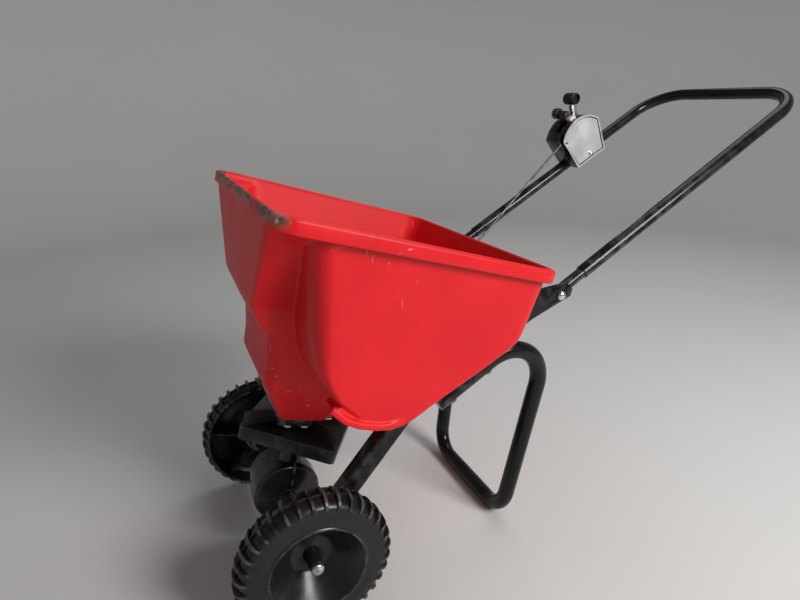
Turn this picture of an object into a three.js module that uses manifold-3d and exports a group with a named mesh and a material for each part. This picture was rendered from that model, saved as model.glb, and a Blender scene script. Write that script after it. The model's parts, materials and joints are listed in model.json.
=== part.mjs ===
// Walk-behind garden spreader: red hopper, tubular frame, two lugged wheels,
// gearbox with a spinning impeller, and a shut-off gate worked by a lever on the handle.
// Millimetres, +Z up, front towards -Y, axle along X.
//
// Hopper, frame, gearbox, handle and controls are laid out in the pushing attitude
// (hopper rim level, origin on the axle) inside one group that leans back onto the stand.

import * as THREE from 'three';
import { mergeVertices } from 'three/addons/utils/BufferGeometryUtils.js';
import Module from 'manifold-3d';

const wasm = await Module();
wasm.setup();

// ---------------------------------------------------------------- driving dimensions

const GAP = 0.3; // play left between neighbouring pieces
const LEAN = THREE.MathUtils.degToRad(17.1); // how far the machine leans back when parked
const REST_SHIFT_Y = -375.9; // puts the row's origin under the middle of the footprint

const WHEEL = {
  radius: 104, planeX: 167.5, halfWidth: 21.5, lugs: 36, lugWidth: 4.6, lugHeight: 5,
  dishRadius: 63.5, floorRadius: 27, bossRadius: 9, wall: 3.4, ribs: 6, boreRadius: 6.3,
};
const AXLE = { radius: 6, halfLength: 184 };
const GEAR = { ringTeeth: 36, pinionTeeth: 12, module: 2, faceRatio: 0.28, addendum: 1.4, dedendum: 1.7 };
const SHAFT = { radius: 5, bottom: 22, top: 172 };
const IMPELLER = { side: 141, turnDeg: 15, skirtBottom: 95, plateBottom: 112.5, plateTop: 115.5, vaneTop: 136 };
const SUMP = { bottom: 152, floor: 3 };
const RIM = { bottom: 420, top: 437, front: -158, rear: 219, frontHalf: 222, rearHalf: 206, skin: 2.6 };
const WALL = 3; // hopper wall

const RAIL = { x: 130, size: 25, kneeY: 96.2, kneeZ: 213.1, endY: 196 };
const HANDLE = {
  x: 144, lineY: 269, lineZ: 396, cornerY: 641.9, cornerZ: 790.7,
  radius: 9.75, innerRadius: 8, sleeveStart: 56, overlap: 44, bend: 66,
};
const STAND = { radius: 12.7, bend: 65, footBend: 44 };
const TUBE_WALL = 1.5;

const PIVOT = { y: 468, z: 646 }; // lever pivot inside the control box
const BOX = { coverX: -110, backX: -157, arcRadius: 54, wall: 2.6 };
const LEVER = { x: -130, angle: 123.3, knobReach: 85.5, crank: 38.2 };
const ROD = { x: -113, radius: 2, tailY: 146, tailZ: 154.6 };
const GATE = { bottom: 146.2, top: 148.8, halfWidth: 60 };
const AGITATOR = { radius: 1.9, below: 8, reach: 12, rise: 8 }; // below: from the top of the shaft
const DROP_HOLES = { x: [-34, 34], width: 20, depth: 22, corner: 3 }; // in the sump floor and the gate
const BRACKET_BOLT = { y: HANDLE.lineY + 4, z: HANDLE.lineZ + 4.2, bore: 3.4 };
const COVER_SCREW = { y: 485, z: 635, bore: 3.2 };

const HANDLE_LINE = new THREE.Vector2(
  HANDLE.cornerY - HANDLE.lineY, HANDLE.cornerZ - HANDLE.lineZ).normalize();

// ---------------------------------------------------------------- materials

const palette = {
  redPoly: { color: 0xd8232a, roughness: 0.42, metalness: 0 },
  blackPlastic: { color: 0x1c1d1f, roughness: 0.5, metalness: 0 },
  glossPlastic: { color: 0x15161a, roughness: 0.25, metalness: 0 },
  blackPaint: { color: 0x17181a, roughness: 0.38, metalness: 0.3 },
  zincSteel: { color: 0xc9c9c4, roughness: 0.3, metalness: 0.9 },
  greySteel: { color: 0x9a9c9e, roughness: 0.35, metalness: 0.9 },
  paleNylon: { color: 0xd8d6cc, roughness: 0.55, metalness: 0 },
};

// ---------------------------------------------------------------- solid helpers

function asSolid(geometry) {
  const bare = geometry.clone();
  bare.deleteAttribute('normal');
  bare.deleteAttribute('uv');
  const merged = mergeVertices(bare, 1e-4);
  const points = merged.getAttribute('position').array;
  const corners = Uint32Array.from(merged.index.array);
  if (signedVolume(points, corners) < 0) corners.reverse();
  return new wasm.Manifold(new wasm.Mesh({
    numProp: 3, vertProperties: Float32Array.from(points), triVerts: corners,
  }));
}

function signedVolume(points, corners) {
  let sum = 0;
  const a = new THREE.Vector3();
  const b = new THREE.Vector3();
  const c = new THREE.Vector3();
  for (let i = 0; i < corners.length; i += 3) {
    a.fromArray(points, corners[i] * 3);
    b.fromArray(points, corners[i + 1] * 3);
    c.fromArray(points, corners[i + 2] * 3);
    sum += a.dot(b.cross(c));
  }
  return sum;
}

function joined(geometries) {
  return geometries.map(asSolid).reduce((all, one) => all.add(one));
}

function cut(solid, geometries) {
  return geometries.map(asSolid).reduce((rest, tool) => rest.subtract(tool), solid);
}

function asGeometry(solid) {
  const mesh = solid.getMesh();
  const geometry = new THREE.BufferGeometry();
  geometry.setAttribute('position', new THREE.Float32BufferAttribute(mesh.vertProperties, 3));
  geometry.setIndex(new THREE.Uint32BufferAttribute(mesh.triVerts, 1));
  geometry.computeVertexNormals();
  return geometry;
}

function piece(name, shape, look) {
  const geometry = shape.isBufferGeometry ? shape : asGeometry(shape);
  const mesh = new THREE.Mesh(geometry, new THREE.MeshStandardMaterial(palette[look]));
  mesh.name = name;
  return mesh;
}

// ---------------------------------------------------------------- shape helpers

function circle(radius, centreX = 0, centreY = 0) {
  return new THREE.Shape().absarc(centreX, centreY, radius, 0, Math.PI * 2, false);
}

function rectangle(width, height, corner = 0, centreX = 0, centreY = 0) {
  const x = width / 2 - corner;
  const y = height / 2 - corner;
  if (corner === 0) {
    const signs = [[-1, -1], [1, -1], [1, 1], [-1, 1]];
    return polygon(signs.map(([right, up]) => [centreX + right * x, centreY + up * y]));
  }
  const shape = new THREE.Shape();
  shape.absarc(centreX + x, centreY + y, corner, 0, Math.PI / 2, false);
  shape.absarc(centreX - x, centreY + y, corner, Math.PI / 2, Math.PI, false);
  shape.absarc(centreX - x, centreY - y, corner, Math.PI, Math.PI * 1.5, false);
  shape.absarc(centreX + x, centreY - y, corner, Math.PI * 1.5, Math.PI * 2, false);
  return shape;
}

function polygon(points) {
  return new THREE.Shape(points.map(([x, y]) => new THREE.Vector2(x, y)));
}

// Arcs get two steps for each segment.
function extrudeZ(shape, bottom, top, segments = 6) {
  const geometry = new THREE.ExtrudeGeometry(shape, {
    depth: top - bottom, bevelEnabled: false, curveSegments: segments,
  });
  return geometry.translate(0, 0, bottom);
}

// The shape is drawn in (y, z) and extruded along X.
function extrudeX(shape, left, right, segments = 6) {
  const turn = new THREE.Matrix4().makeBasis(
    new THREE.Vector3(0, 1, 0), new THREE.Vector3(0, 0, 1), new THREE.Vector3(1, 0, 0));
  const low = Math.min(left, right);
  const high = Math.max(left, right);
  return extrudeZ(shape, low, high, segments).applyMatrix4(turn);
}

function box(width, depth, height, x, y, z) {
  return new THREE.BoxGeometry(width, depth, height).translate(x, y, z);
}

// Profiles are [radius, position along the axis].
function latheX(profile, segments = 20) {
  const points = profile.map(([radius, along]) => new THREE.Vector2(radius, along));
  return new THREE.LatheGeometry(points, segments).rotateZ(-Math.PI / 2);
}

function latheZ(profile, segments = 16) {
  const points = profile.map(([radius, along]) => new THREE.Vector2(radius, along));
  return new THREE.LatheGeometry(points, segments).rotateX(Math.PI / 2);
}

function rodX(radius, left, right, y = 0, z = 0, segments = 12) {
  return latheX([[0, left], [radius, left], [radius, right], [0, right]], segments).translate(0, y, z);
}

// A curve that runs straight between its points, so that a bend keeps its own steps.
class StepCurve extends THREE.Curve {
  constructor(points) {
    super();
    this.points = points;
  }

  getPoint(t) {
    const last = this.points.length - 1;
    const index = Math.min(Math.floor(t * last), last - 1);
    return this.points[index].clone().lerp(this.points[index + 1], t * last - index);
  }

  getPointAt(u) {
    return this.getPoint(u);
  }

  getSpacedPoints() {
    return this.points;
  }

  getTangentAt(u) {
    const last = this.points.length - 1;
    const index = Math.round(u * last);
    const here = this.points[index];
    const before = this.points[Math.max(index - 1, 0)];
    const after = this.points[Math.min(index + 1, last)];
    const into = here.clone().sub(before).normalize();
    const out = after.clone().sub(here).normalize();
    return into.add(out).normalize();
  }
}

// Straight runs between corners, each inner corner rounded to the bend radius.
function bentPath(corners, radius, stepDeg = 13) {
  const points = [corners[0].clone()];
  for (let i = 1; i < corners.length - 1; i += 1) {
    const into = corners[i].clone().sub(corners[i - 1]).normalize();
    const out = corners[i + 1].clone().sub(corners[i]).normalize();
    const turn = into.angleTo(out);
    const reach = radius * Math.tan(turn / 2);
    const start = corners[i].clone().addScaledVector(into, -reach);
    const side = out.clone().addScaledVector(into, -out.dot(into)).normalize();
    const centre = start.clone().addScaledVector(side, radius);
    const steps = Math.max(2, Math.ceil(THREE.MathUtils.radToDeg(turn) / stepDeg));
    for (let k = 0; k <= steps; k += 1) {
      const angle = turn * k / steps;
      points.push(centre.clone()
        .addScaledVector(side, -radius * Math.cos(angle))
        .addScaledVector(into, radius * Math.sin(angle)));
    }
  }
  points.push(corners[corners.length - 1].clone());
  return points;
}

function sweep(points, shape, segments = 6) {
  return new THREE.ExtrudeGeometry(shape, {
    steps: points.length - 1, extrudePath: new StepCurve(points), curveSegments: segments,
  });
}

// ---------------------------------------------------------------- wheels

// Outline of the tread seen along the axle: a lug, then a valley.
function treadOutline() {
  const { radius, lugHeight, lugWidth, lugs } = WHEEL;
  const valley = radius - lugHeight;
  const pitch = Math.PI * 2 / lugs;
  const tip = lugWidth / 2 / radius;
  const foot = tip * 1.35;
  const points = [];
  for (let i = 0; i < lugs; i += 1) {
    for (const [reach, swing] of [[valley, -foot], [radius, -tip], [radius, tip], [valley, foot]]) {
      points.push([reach * Math.cos(i * pitch + swing), reach * Math.sin(i * pitch + swing)]);
    }
  }
  return polygon(points);
}

function wheelSolid() {
  const { halfWidth, dishRadius, floorRadius, bossRadius, wall, boreRadius } = WHEEL;
  const floor = -halfWidth + wall + 1;
  const opening = WHEEL.radius - WHEEL.lugHeight - 5;
  const tread = treadOutline();
  tread.holes.push(circle(opening));
  const shell = latheX([
    [boreRadius, floor - wall], [floorRadius + wall, floor - wall], [dishRadius + 2, halfWidth - wall - 3],
    [opening + 2, halfWidth - wall - 3], [opening + 2, halfWidth - 2], [opening - 3, halfWidth],
    [dishRadius, halfWidth], [floorRadius, floor], [bossRadius, floor], [bossRadius, halfWidth - 9],
    [boreRadius, halfWidth - 9], [boreRadius, floor - wall],
  ], WHEEL.lugs);
  const ribLength = opening - floorRadius - 2;
  const ribs = [];
  for (let i = 0; i < WHEEL.ribs; i += 1) {
    const rib = box(halfWidth * 2 - wall - 9, ribLength, 3, 0, floorRadius + 2 + ribLength / 2, 0);
    ribs.push(rib.rotateX(Math.PI * 2 * (i + 0.25) / WHEEL.ribs));
  }
  const dishAir = latheX([
    [0, floor - 1], [floorRadius - 1, floor - 1], [dishRadius, halfWidth - 1],
    [dishRadius, halfWidth + 5], [0, halfWidth + 5],
  ], WHEEL.lugs);
  const backs = cut(joined(ribs), [dishAir]);
  return joined([extrudeX(tread, -halfWidth, halfWidth - 2.5, WHEEL.lugs / 2), shell]).add(backs);
}

// The pressed cap on the end of the axle, seated in the boss of the wheel.
function axleNut(side) {
  const seat = AXLE.halfLength - 4;
  const inside = AXLE.halfLength + GAP;
  const grip = AXLE.radius + GAP;
  const cap = latheX([
    [0, inside], [grip, inside], [grip, seat], [grip + 2.6, seat], [grip + 2.6, inside + 1],
    [grip, inside + 3.6], [0, inside + 3.6],
  ], 12);
  return side < 0 ? cap.rotateZ(Math.PI) : cap;
}

// ---------------------------------------------------------------- drive line

// One bevel tooth at the top of the ring, or at the side of the pinion, tapering to the gears' apex.
function bevelTooth(towardsRing) {
  const { ringTeeth, pinionTeeth, module, addendum, dedendum, faceRatio } = GEAR;
  const outerPoint = new THREE.Vector3(pinionTeeth * module / 2, 0, ringTeeth * module / 2);
  const across = new THREE.Vector3(outerPoint.z, 0, -outerPoint.x).normalize();
  if (!towardsRing) across.negate();
  const root = -dedendum - 0.5;
  const outline = polygon([[-1.5, root], [1.5, root], [0.7, addendum], [-0.7, addendum]]);
  const tooth = extrudeZ(outline, 0, 1);
  const at = tooth.getAttribute('position');
  for (let i = 0; i < at.count; i += 1) {
    const shrink = 1 - at.getZ(i) * faceRatio;
    const place = outerPoint.clone().addScaledVector(across, at.getY(i));
    place.y += at.getX(i);
    place.multiplyScalar(shrink);
    at.setXYZ(i, place.x, place.y, place.z);
  }
  return tooth;
}

function ringGearSolid() {
  const inner = AXLE.radius + GAP;
  const blank = latheX([
    [inner, 7.5], [24.6, 9.9], [35.4, 13.7], [38, 18], [inner, 18], [inner, 7.5],
  ], GEAR.ringTeeth).rotateX(Math.PI / GEAR.ringTeeth);
  let solid = asSolid(blank);
  for (let i = 0; i < GEAR.ringTeeth; i += 1) {
    solid = solid.add(asSolid(bevelTooth(false).rotateX(Math.PI * 2 * i / GEAR.ringTeeth)));
  }
  return solid;
}

function pinionSolid() {
  const inner = SHAFT.radius + GAP;
  const blank = latheZ([
    [inner, 24], [7, 24], [10.3, 36.6], [10.3, 40], [inner, 40], [inner, 24],
  ], GEAR.pinionTeeth);
  let solid = asSolid(blank);
  for (let i = 0; i < GEAR.pinionTeeth; i += 1) {
    solid = solid.add(asSolid(bevelTooth(true).rotateZ(Math.PI * 2 * (i + 0.5) / GEAR.pinionTeeth)));
  }
  return solid;
}

function gearboxHalf(side) {
  const outer = joined([
    latheX([[0, -14], [47, -14], [50, -10], [50, 19], [46, 24], [24, 28], [14, 30], [0, 30]], 24),
    latheX([[0, -58], [14, -58], [36, -56], [43, -51], [45, -44], [45, -13], [0, -13]], 24),
    latheZ([[0, 10], [18, 10], [18, 70], [15, 76], [13, 88], [0, 88]], 20),
    latheX([[0, -66], [11, -66], [11, 38], [0, 38]], 20),
  ]);
  const hollow = [
    latheX([[0, -10.5], [46, -10.5], [46, 18], [42, 21], [20, 24], [0, 24]], 20),
    latheX([[0, -54], [36, -52], [41, -44], [41, -9], [0, -9]], 20),
    latheZ([[0, 0], [SHAFT.radius + 0.5, 0], [SHAFT.radius + 0.5, 90], [0, 90]], 20),
    rodX(AXLE.radius + 0.5, -70, 45, 0, 0, 20),
  ];
  const shell = cut(outer, hollow);
  const halfSpace = box(300, 120, 300, 0, side * (60 + GAP / 2), 0);
  return shell.intersect(asSolid(halfSpace));
}

function impellerSolid() {
  const { side, skirtBottom, plateBottom, plateTop, vaneTop } = IMPELLER;
  const plate = joined([
    extrudeZ(rectangle(side, side, 7), skirtBottom, plateTop, 2),
    latheZ([[0, 91], [13, 91], [15, 120], [11, 132], [0, 132]], 24),
  ]);
  const hollow = extrudeZ(rectangle(side - 6, side - 6, 5), skirtBottom - 1, plateBottom, 2);
  const hub = latheZ([[0, 91], [13, 91], [15, 114], [0, 114]], 24);
  let solid = cut(plate, [hollow]).add(asSolid(hub));
  const reach = side / Math.SQRT2 - 5;
  const vane = polygon([
    [10, plateTop - 1], [reach, plateTop - 1], [reach, vaneTop], [reach - 30, vaneTop], [10, plateTop + 10],
  ]);
  for (let i = 0; i < 4; i += 1) {
    const fin = extrudeZ(vane, -1.5, 1.5).rotateX(Math.PI / 2);
    fin.rotateZ(Math.PI / 4 + Math.PI / 2 * i);
    solid = solid.add(asSolid(fin));
  }
  const bore = latheZ([[0, 80], [SHAFT.radius + GAP, 80], [SHAFT.radius + GAP, 150], [0, 150]], 20);
  return cut(solid, [bore]);
}

function shaftSolid() {
  const { radius, bottom, top } = SHAFT;
  const bar = asSolid(latheZ([[0, bottom], [radius, bottom], [radius, top - 1], [radius - 1, top], [0, top]], 20));
  return cut(bar, [rodX(AGITATOR.radius + 0.4, -10, 10, 0, top - AGITATOR.below, 12)]);
}

function agitatorSolid() {
  const { radius, reach, rise } = AGITATOR;
  const z = SHAFT.top - AGITATOR.below;
  const corners = [[-reach, -4, z + rise], [4 - reach, 0, z], [reach - 4, 0, z], [reach, 4, z + rise]];
  return sweep(bentPath(corners.map((at) => new THREE.Vector3(...at)), 4, 20), circle(radius), 4);
}

// ---------------------------------------------------------------- hopper

function between(table, z) {
  const index = table.findIndex(([height]) => height >= z);
  if (index < 0) return table[table.length - 1][1];
  if (index === 0) return table[0][1];
  const [z0, v0] = table[index - 1];
  const [z1, v1] = table[index];
  return v0 + (v1 - v0) * (z - z0) / (z1 - z0);
}

// Stacked rounded outlines: front and rear give y, halfFront and halfRear give the half width there.
function stack(heights, form, inset, corner) {
  const outline = rectangle(2, 2, corner);
  const geometry = new THREE.ExtrudeGeometry(outline, {
    depth: heights.length - 1, steps: heights.length - 1, bevelEnabled: false, curveSegments: 2,
  });
  const at = geometry.getAttribute('position');
  for (let i = 0; i < at.count; i += 1) {
    const z = heights[Math.round(at.getZ(i))];
    const share = (at.getY(i) + 1) / 2;
    const front = between(form.front, z) + inset;
    const rear = between(form.rear, z) - inset;
    const halfFront = between(form.halfFront, z) - inset;
    const halfRear = between(form.halfRear, z) - inset;
    const half = halfFront + (halfRear - halfFront) * share;
    at.setXYZ(i, at.getX(i) * half, front + (rear - front) * share, z);
  }
  return geometry;
}

// Each form of the hopper: [height, distance] pairs for its four sides.
const bulge = {
  front: [
    [190, 34], [199, 19], [208, 4], [219, -16], [231, -36], [248, -52], [266, -64], [310, -80],
    [416, -113], [437, -116],
  ],
  rear: [
    [190, 58], [199, 73], [208, 84], [216, 93], [247, 126], [282, 164], [322, 204], [332, 210],
    [345, 212], [437, 213],
  ],
  halfFront: [[190, 166], [199, 173], [208, 175], [247, 180], [327, 191], [437, 212]],
  halfRear: [[190, 166], [199, 173], [208, 175], [247, 178], [327, 186], [437, 199]],
};
const nose = {
  front: [[152, -58], [158, -62], [201, -90], [231, -92], [300, -107], [380, -120], [437, -128]],
  rear: [[152, 6], [158, 12], [201, 36], [231, 60], [437, 60]],
  halfFront: [[152, 75], [158, 80], [201, 90], [231, 92], [300, 95], [437, 106]],
  halfRear: [[152, 75], [158, 80], [201, 90], [231, 92], [300, 95], [437, 106]],
};
const panel = {
  front: [[276, -109], [310, -133], [415, -154], [437, -155]],
  rear: [[276, -60], [437, -60]],
  halfFront: [[276, 96], [310, 103], [415, 180], [437, 200]],
  halfRear: [[276, 96], [310, 103], [415, 180], [437, 200]],
};
const shoulder = {
  front: [[372, -112], [424, -149], [437, -150]],
  rear: [[372, -70], [437, -60]],
  halfFront: [[372, 100], [400, 165], [424, 211], [437, 214]],
  halfRear: [[372, 100], [400, 160], [424, 206], [437, 210]],
};
const rimBand = {
  front: [[0, RIM.front]], rear: [[0, RIM.rear]], halfFront: [[0, RIM.frontHalf]], halfRear: [[0, RIM.rearHalf]],
};
const bulgeHeights = [190, 199, 208, 219, 231, 247, 266, 282, 310, 332, 345, 380, 416, RIM.top];
const noseHeights = [SUMP.bottom, 158, 201, 231, 300, 380, RIM.top];
const panelHeights = [276, 310, 415, RIM.top];
const shoulderHeights = [372, 400, 424, RIM.top];

function raised(heights, lift) {
  const inner = heights.slice(0, -1).map((z, index) => (index === 0 ? z + lift : z + 0.1));
  return [...inner, RIM.top + 9];
}

function railPath(x, endY = RAIL.endY) {
  const start = new THREE.Vector3(x, -6, -13.4);
  const knee = new THREE.Vector3(x, RAIL.kneeY, RAIL.kneeZ);
  return bentPath([start, knee, linePoint(x, endY)], 60, 10);
}

function linePoint(x, y) {
  const run = (y - HANDLE.lineY) / HANDLE_LINE.x;
  return new THREE.Vector3(x, y, HANDLE.lineZ + run * HANDLE_LINE.y);
}

function lowerTubePath(side) {
  const start = linePoint(side * HANDLE.x, 150);
  const end = linePoint(side * HANDLE.x, HANDLE.lineY + (HANDLE.sleeveStart + HANDLE.overlap) * HANDLE_LINE.x);
  return [start, end];
}

// The moulded channels that the rails lie in, wide enough for the rail and the tube beside it.
function channelTools(clear) {
  const inner = RAIL.x - RAIL.size / 2 - clear;
  const outer = HANDLE.x + HANDLE.innerRadius + clear;
  const section = rectangle(outer - inner, RAIL.size + clear * 2);
  return [-1, 1].map((side) => sweep(railPath(side * (inner + outer) / 2, 262), section));
}

function dropHoles(y, bottom, top) {
  const { x, width, depth, corner } = DROP_HOLES;
  return x.map((centre) => extrudeZ(rectangle(width, depth, corner, centre, y), bottom, top, 1));
}

function hopperLedge(side) {
  const points = [[-22, 223], [0, 209], [22, 199], [46, 195], [68, 201], [92, 218]];
  const path = points.map(([y, z]) => new THREE.Vector3(side * 172, y, z));
  return sweep(path, circle(5.5), 3);
}

function hopperSolid() {
  const outer = joined([
    stack(bulgeHeights, bulge, 0, 0.16),
    stack(noseHeights, nose, 0, 0.2),
    stack(panelHeights, panel, 0, 0.08),
    stack(shoulderHeights, shoulder, 0, 0.12),
    hopperLedge(1),
    hopperLedge(-1),
  ]);
  const flange = cut(asSolid(stack([RIM.bottom, RIM.top], rimBand, 0, 0.15)), [
    stack([RIM.bottom - 1, RIM.top - RIM.skin], rimBand, RIM.skin, 0.14),
  ]);
  const inside = joined([
    stack(raised(bulgeHeights, WALL), bulge, WALL, 0.16),
    stack(raised(noseHeights, SUMP.floor), nose, WALL, 0.2),
    stack(raised(panelHeights, 4), panel, WALL, 0.08),
    stack(raised(shoulderHeights, 4), shoulder, WALL, 0.12),
  ]);
  const body = cut(outer, channelTools(0.6)).add(flange);
  const bowl = cut(inside, channelTools(0.6 + WALL));
  const holes = [extrudeZ(circle(SHAFT.radius + 1.2), SUMP.bottom - 5, SUMP.bottom + 8, 6)];
  holes.push(...dropHoles(-29, SUMP.bottom - 5, SUMP.bottom + 8));
  return cut(body.subtract(bowl), holes);
}

// ---------------------------------------------------------------- frame

function railSolid(side) {
  const square = sweep(railPath(side * RAIL.x), rectangle(RAIL.size, RAIL.size, 3.5), 1);
  const upper = sweep(lowerTubePath(side), circle(HANDLE.innerRadius), 7);
  const bore = rodX(8 + GAP, side * RAIL.x - 20, side * RAIL.x + 20, 0, 0, 20);
  const bolt = rodX(
    BRACKET_BOLT.bore, side * HANDLE.x - 20, side * HANDLE.x + 20, BRACKET_BOLT.y, BRACKET_BOLT.z, 12);
  const room = RAIL.size - TUBE_WALL * 2;
  const lowerRoom = sweep(overlong(railPath(side * RAIL.x, RAIL.endY - 8), 5, 0), rectangle(room, room, 2), 1);
  const upperRoom = sweep(
    overlong(lowerTubePath(side), -75, 5), circle(HANDLE.innerRadius - TUBE_WALL), 7);
  return cut(joined([square, upper]), [bore, bolt, lowerRoom, upperRoom]);
}

// The same path with its first and last runs made longer, or shorter where the length is negative.
function overlong(points, before, after) {
  const last = points.length - 1;
  const start = points[0].clone().sub(points[1]).setLength(before).add(points[0]);
  const end = points[last].clone().sub(points[last - 1]).setLength(after).add(points[last]);
  return [start, ...points.slice(1, -1), end];
}

function railBush(side) {
  const half = RAIL.size / 2;
  const bush = latheX([
    [AXLE.radius + 0.4, -half - 2.4], [11, -half - 2.4], [11, -half - GAP], [8, -half - GAP],
    [8, half - 1], [AXLE.radius + 0.4, half - 1], [AXLE.radius + 0.4, -half - 2.4],
  ], 20);
  if (side < 0) bush.rotateZ(Math.PI);
  return bush.translate(side * RAIL.x, 0, 0);
}

function handleSolid() {
  const start = HANDLE.lineY + HANDLE.sleeveStart * HANDLE_LINE.x;
  const corners = [
    linePoint(-HANDLE.x, start),
    new THREE.Vector3(-HANDLE.x, HANDLE.cornerY, HANDLE.cornerZ),
    new THREE.Vector3(HANDLE.x, HANDLE.cornerY, HANDLE.cornerZ),
    linePoint(HANDLE.x, start),
  ];
  const path = bentPath(corners, HANDLE.bend, 13);
  const tube = asSolid(sweep(path, circle(HANDLE.radius), 6));
  return cut(tube, [sweep(overlong(path, 5, 5), circle(HANDLE.innerRadius + GAP), 7)]);
}

function standSolid() {
  const right = [
    new THREE.Vector3(135, 136, 217), new THREE.Vector3(135, 294.2, 384.4), new THREE.Vector3(106, 347, 11.5),
  ];
  const left = right.map((at) => new THREE.Vector3(-at.x, at.y, at.z)).reverse();
  const upperBend = bentPath([right[0], right[1], right[2]], STAND.bend, 13);
  const footBend = bentPath([right[1], right[2], left[0], left[1]], STAND.footBend, 13);
  const mirrored = upperBend.map((at) => new THREE.Vector3(-at.x, at.y, at.z)).reverse();
  const points = [...upperBend.slice(0, -1), ...footBend.slice(1, -1), ...mirrored.slice(1)];
  const tube = asSolid(sweep(points, circle(STAND.radius), 6));
  return cut(tube, [sweep(overlong(points, 5, 5), circle(STAND.radius - TUBE_WALL), 6)]);
}

function standBolt(side, y) {
  const at = linePoint(side * RAIL.x, y);
  const down = new THREE.Vector3(0, HANDLE_LINE.y, -HANDLE_LINE.x);
  const head = latheZ([[0, 0], [6, 0], [6, 2.6], [3.6, 5.2], [0, 5.2]], 12);
  head.applyQuaternion(new THREE.Quaternion().setFromUnitVectors(new THREE.Vector3(0, 0, 1), down));
  const under = at.clone().addScaledVector(down, 26.4 + STAND.radius + GAP);
  return head.translate(side * 135, under.y, under.z);
}

function hopperBracket(side) {
  const x = side * (HANDLE.x + HANDLE.innerRadius + GAP + 1.5);
  const strap = extrudeX(polygon([
    [214, 352], [226, 352], [290, 402], [290, 412], [276, 420], [214, 396],
  ]), x - 1.3, x + 1.3);
  const foot = box(26, 2.6, 36, x - side * 13 + side * 1.3, 214 + 1.3 + GAP, 378);
  const solid = cut(asSolid(strap), [box(20, 4, 80, x, 212.2, 374)]).add(asSolid(foot));
  return cut(solid, [rodX(BRACKET_BOLT.bore, x - 5, x + 5, BRACKET_BOLT.y, BRACKET_BOLT.z, 12)]);
}

// A dome-headed bolt along X; the head is on the outer side.
function domeBolt(side, x, y, z, length, shank = 3, head = 7) {
  const bolt = latheX([
    [0, -length], [shank, -length], [shank, 0], [head, 0], [head, 1.2], [head * 0.72, 3.4], [head * 0.3, 4.6], [0, 4.8],
  ], 14);
  if (side < 0) bolt.rotateZ(Math.PI);
  return bolt.translate(x, y, z);
}

function hexNut(side, x, y, z, bore, across = 11, thick = 5) {
  const nut = latheX([[bore, 0], [across / 2, 0], [across / 2, thick], [bore, thick], [bore, 0]], 6);
  if (side < 0) nut.rotateZ(Math.PI);
  return nut.translate(x, y, z);
}

// ---------------------------------------------------------------- gate under the sump

function gateSolid() {
  const { bottom, top, halfWidth } = GATE;
  const plate = extrudeZ(rectangle(halfWidth * 2, 80, 4, 0, -16), bottom, top, 1);
  const arm = extrudeZ(polygon([
    [-56, 6], [-50, 22], [-93, 62], [-93, 152], [-107, 152], [-107, 56],
  ]), bottom, top);
  const ear = box(3, 16, 20, -102, ROD.tailY, bottom + 10);
  const tools = [
    extrudeZ(rectangle(15, 56, 7.4, 0, -8.8), bottom - 1, top + 1, 3),
    rodX(ROD.radius + 0.5, -110, -90, ROD.tailY, ROD.tailZ, 12),
    ...dropHoles(-16, bottom - 1, top + 1),
  ];
  return cut(joined([plate, arm, ear]), tools);
}

function gateGuide(side) {
  const inner = GATE.halfWidth + GAP + 0.3;
  const profile = [
    [inner, SUMP.bottom - GAP], [72, SUMP.bottom - GAP], [72, 141.5], [inner - 8, 141.5],
    [inner - 8, GATE.bottom - GAP], [inner, GATE.bottom - GAP],
  ];
  const shape = polygon(profile.map(([x, z]) => [side * x, z]));
  return extrudeZ(shape, 0, 48).rotateX(Math.PI / 2).translate(0, -9, 0);
}

function guideBolt(side, y) {
  return latheZ([[0, 137.6], [4.6, 137.6], [5.5, 138.4], [5.5, 141.2], [0, 141.2]], 6).translate(side * 67, y, 0);
}

// ---------------------------------------------------------------- controls on the handle

const rodDirection = new THREE.Vector2();
const crankPin = new THREE.Vector2();

function placeLinkage() {
  const tail = new THREE.Vector2(ROD.tailY - PIVOT.y, ROD.tailZ - PIVOT.z);
  const reach = tail.length();
  const back = Math.atan2(tail.y, tail.x);
  const angle = back - Math.acos(LEVER.crank / reach);
  crankPin.set(PIVOT.y + LEVER.crank * Math.cos(angle), PIVOT.z + LEVER.crank * Math.sin(angle));
  rodDirection.set(ROD.tailY - crankPin.x, ROD.tailZ - crankPin.y).normalize();
}

placeLinkage();

function boxOutline(inset) {
  const radius = BOX.arcRadius - inset;
  const shape = new THREE.Shape();
  shape.moveTo(PIVOT.y, PIVOT.z - 43 + inset * 1.35);
  shape.lineTo(PIVOT.y + 47 - inset * 1.3, PIVOT.z + 7);
  shape.absarc(PIVOT.y, PIVOT.z, radius, THREE.MathUtils.degToRad(82), THREE.MathUtils.degToRad(190), false);
  return shape;
}

function slotSector(inner, outer, fromDeg, toDeg) {
  const from = THREE.MathUtils.degToRad(fromDeg);
  const to = THREE.MathUtils.degToRad(toDeg);
  const shape = new THREE.Shape();
  shape.absarc(PIVOT.y, PIVOT.z, outer, from, to, false);
  shape.absarc(PIVOT.y, PIVOT.z, inner, to, from, true);
  return shape;
}

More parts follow.
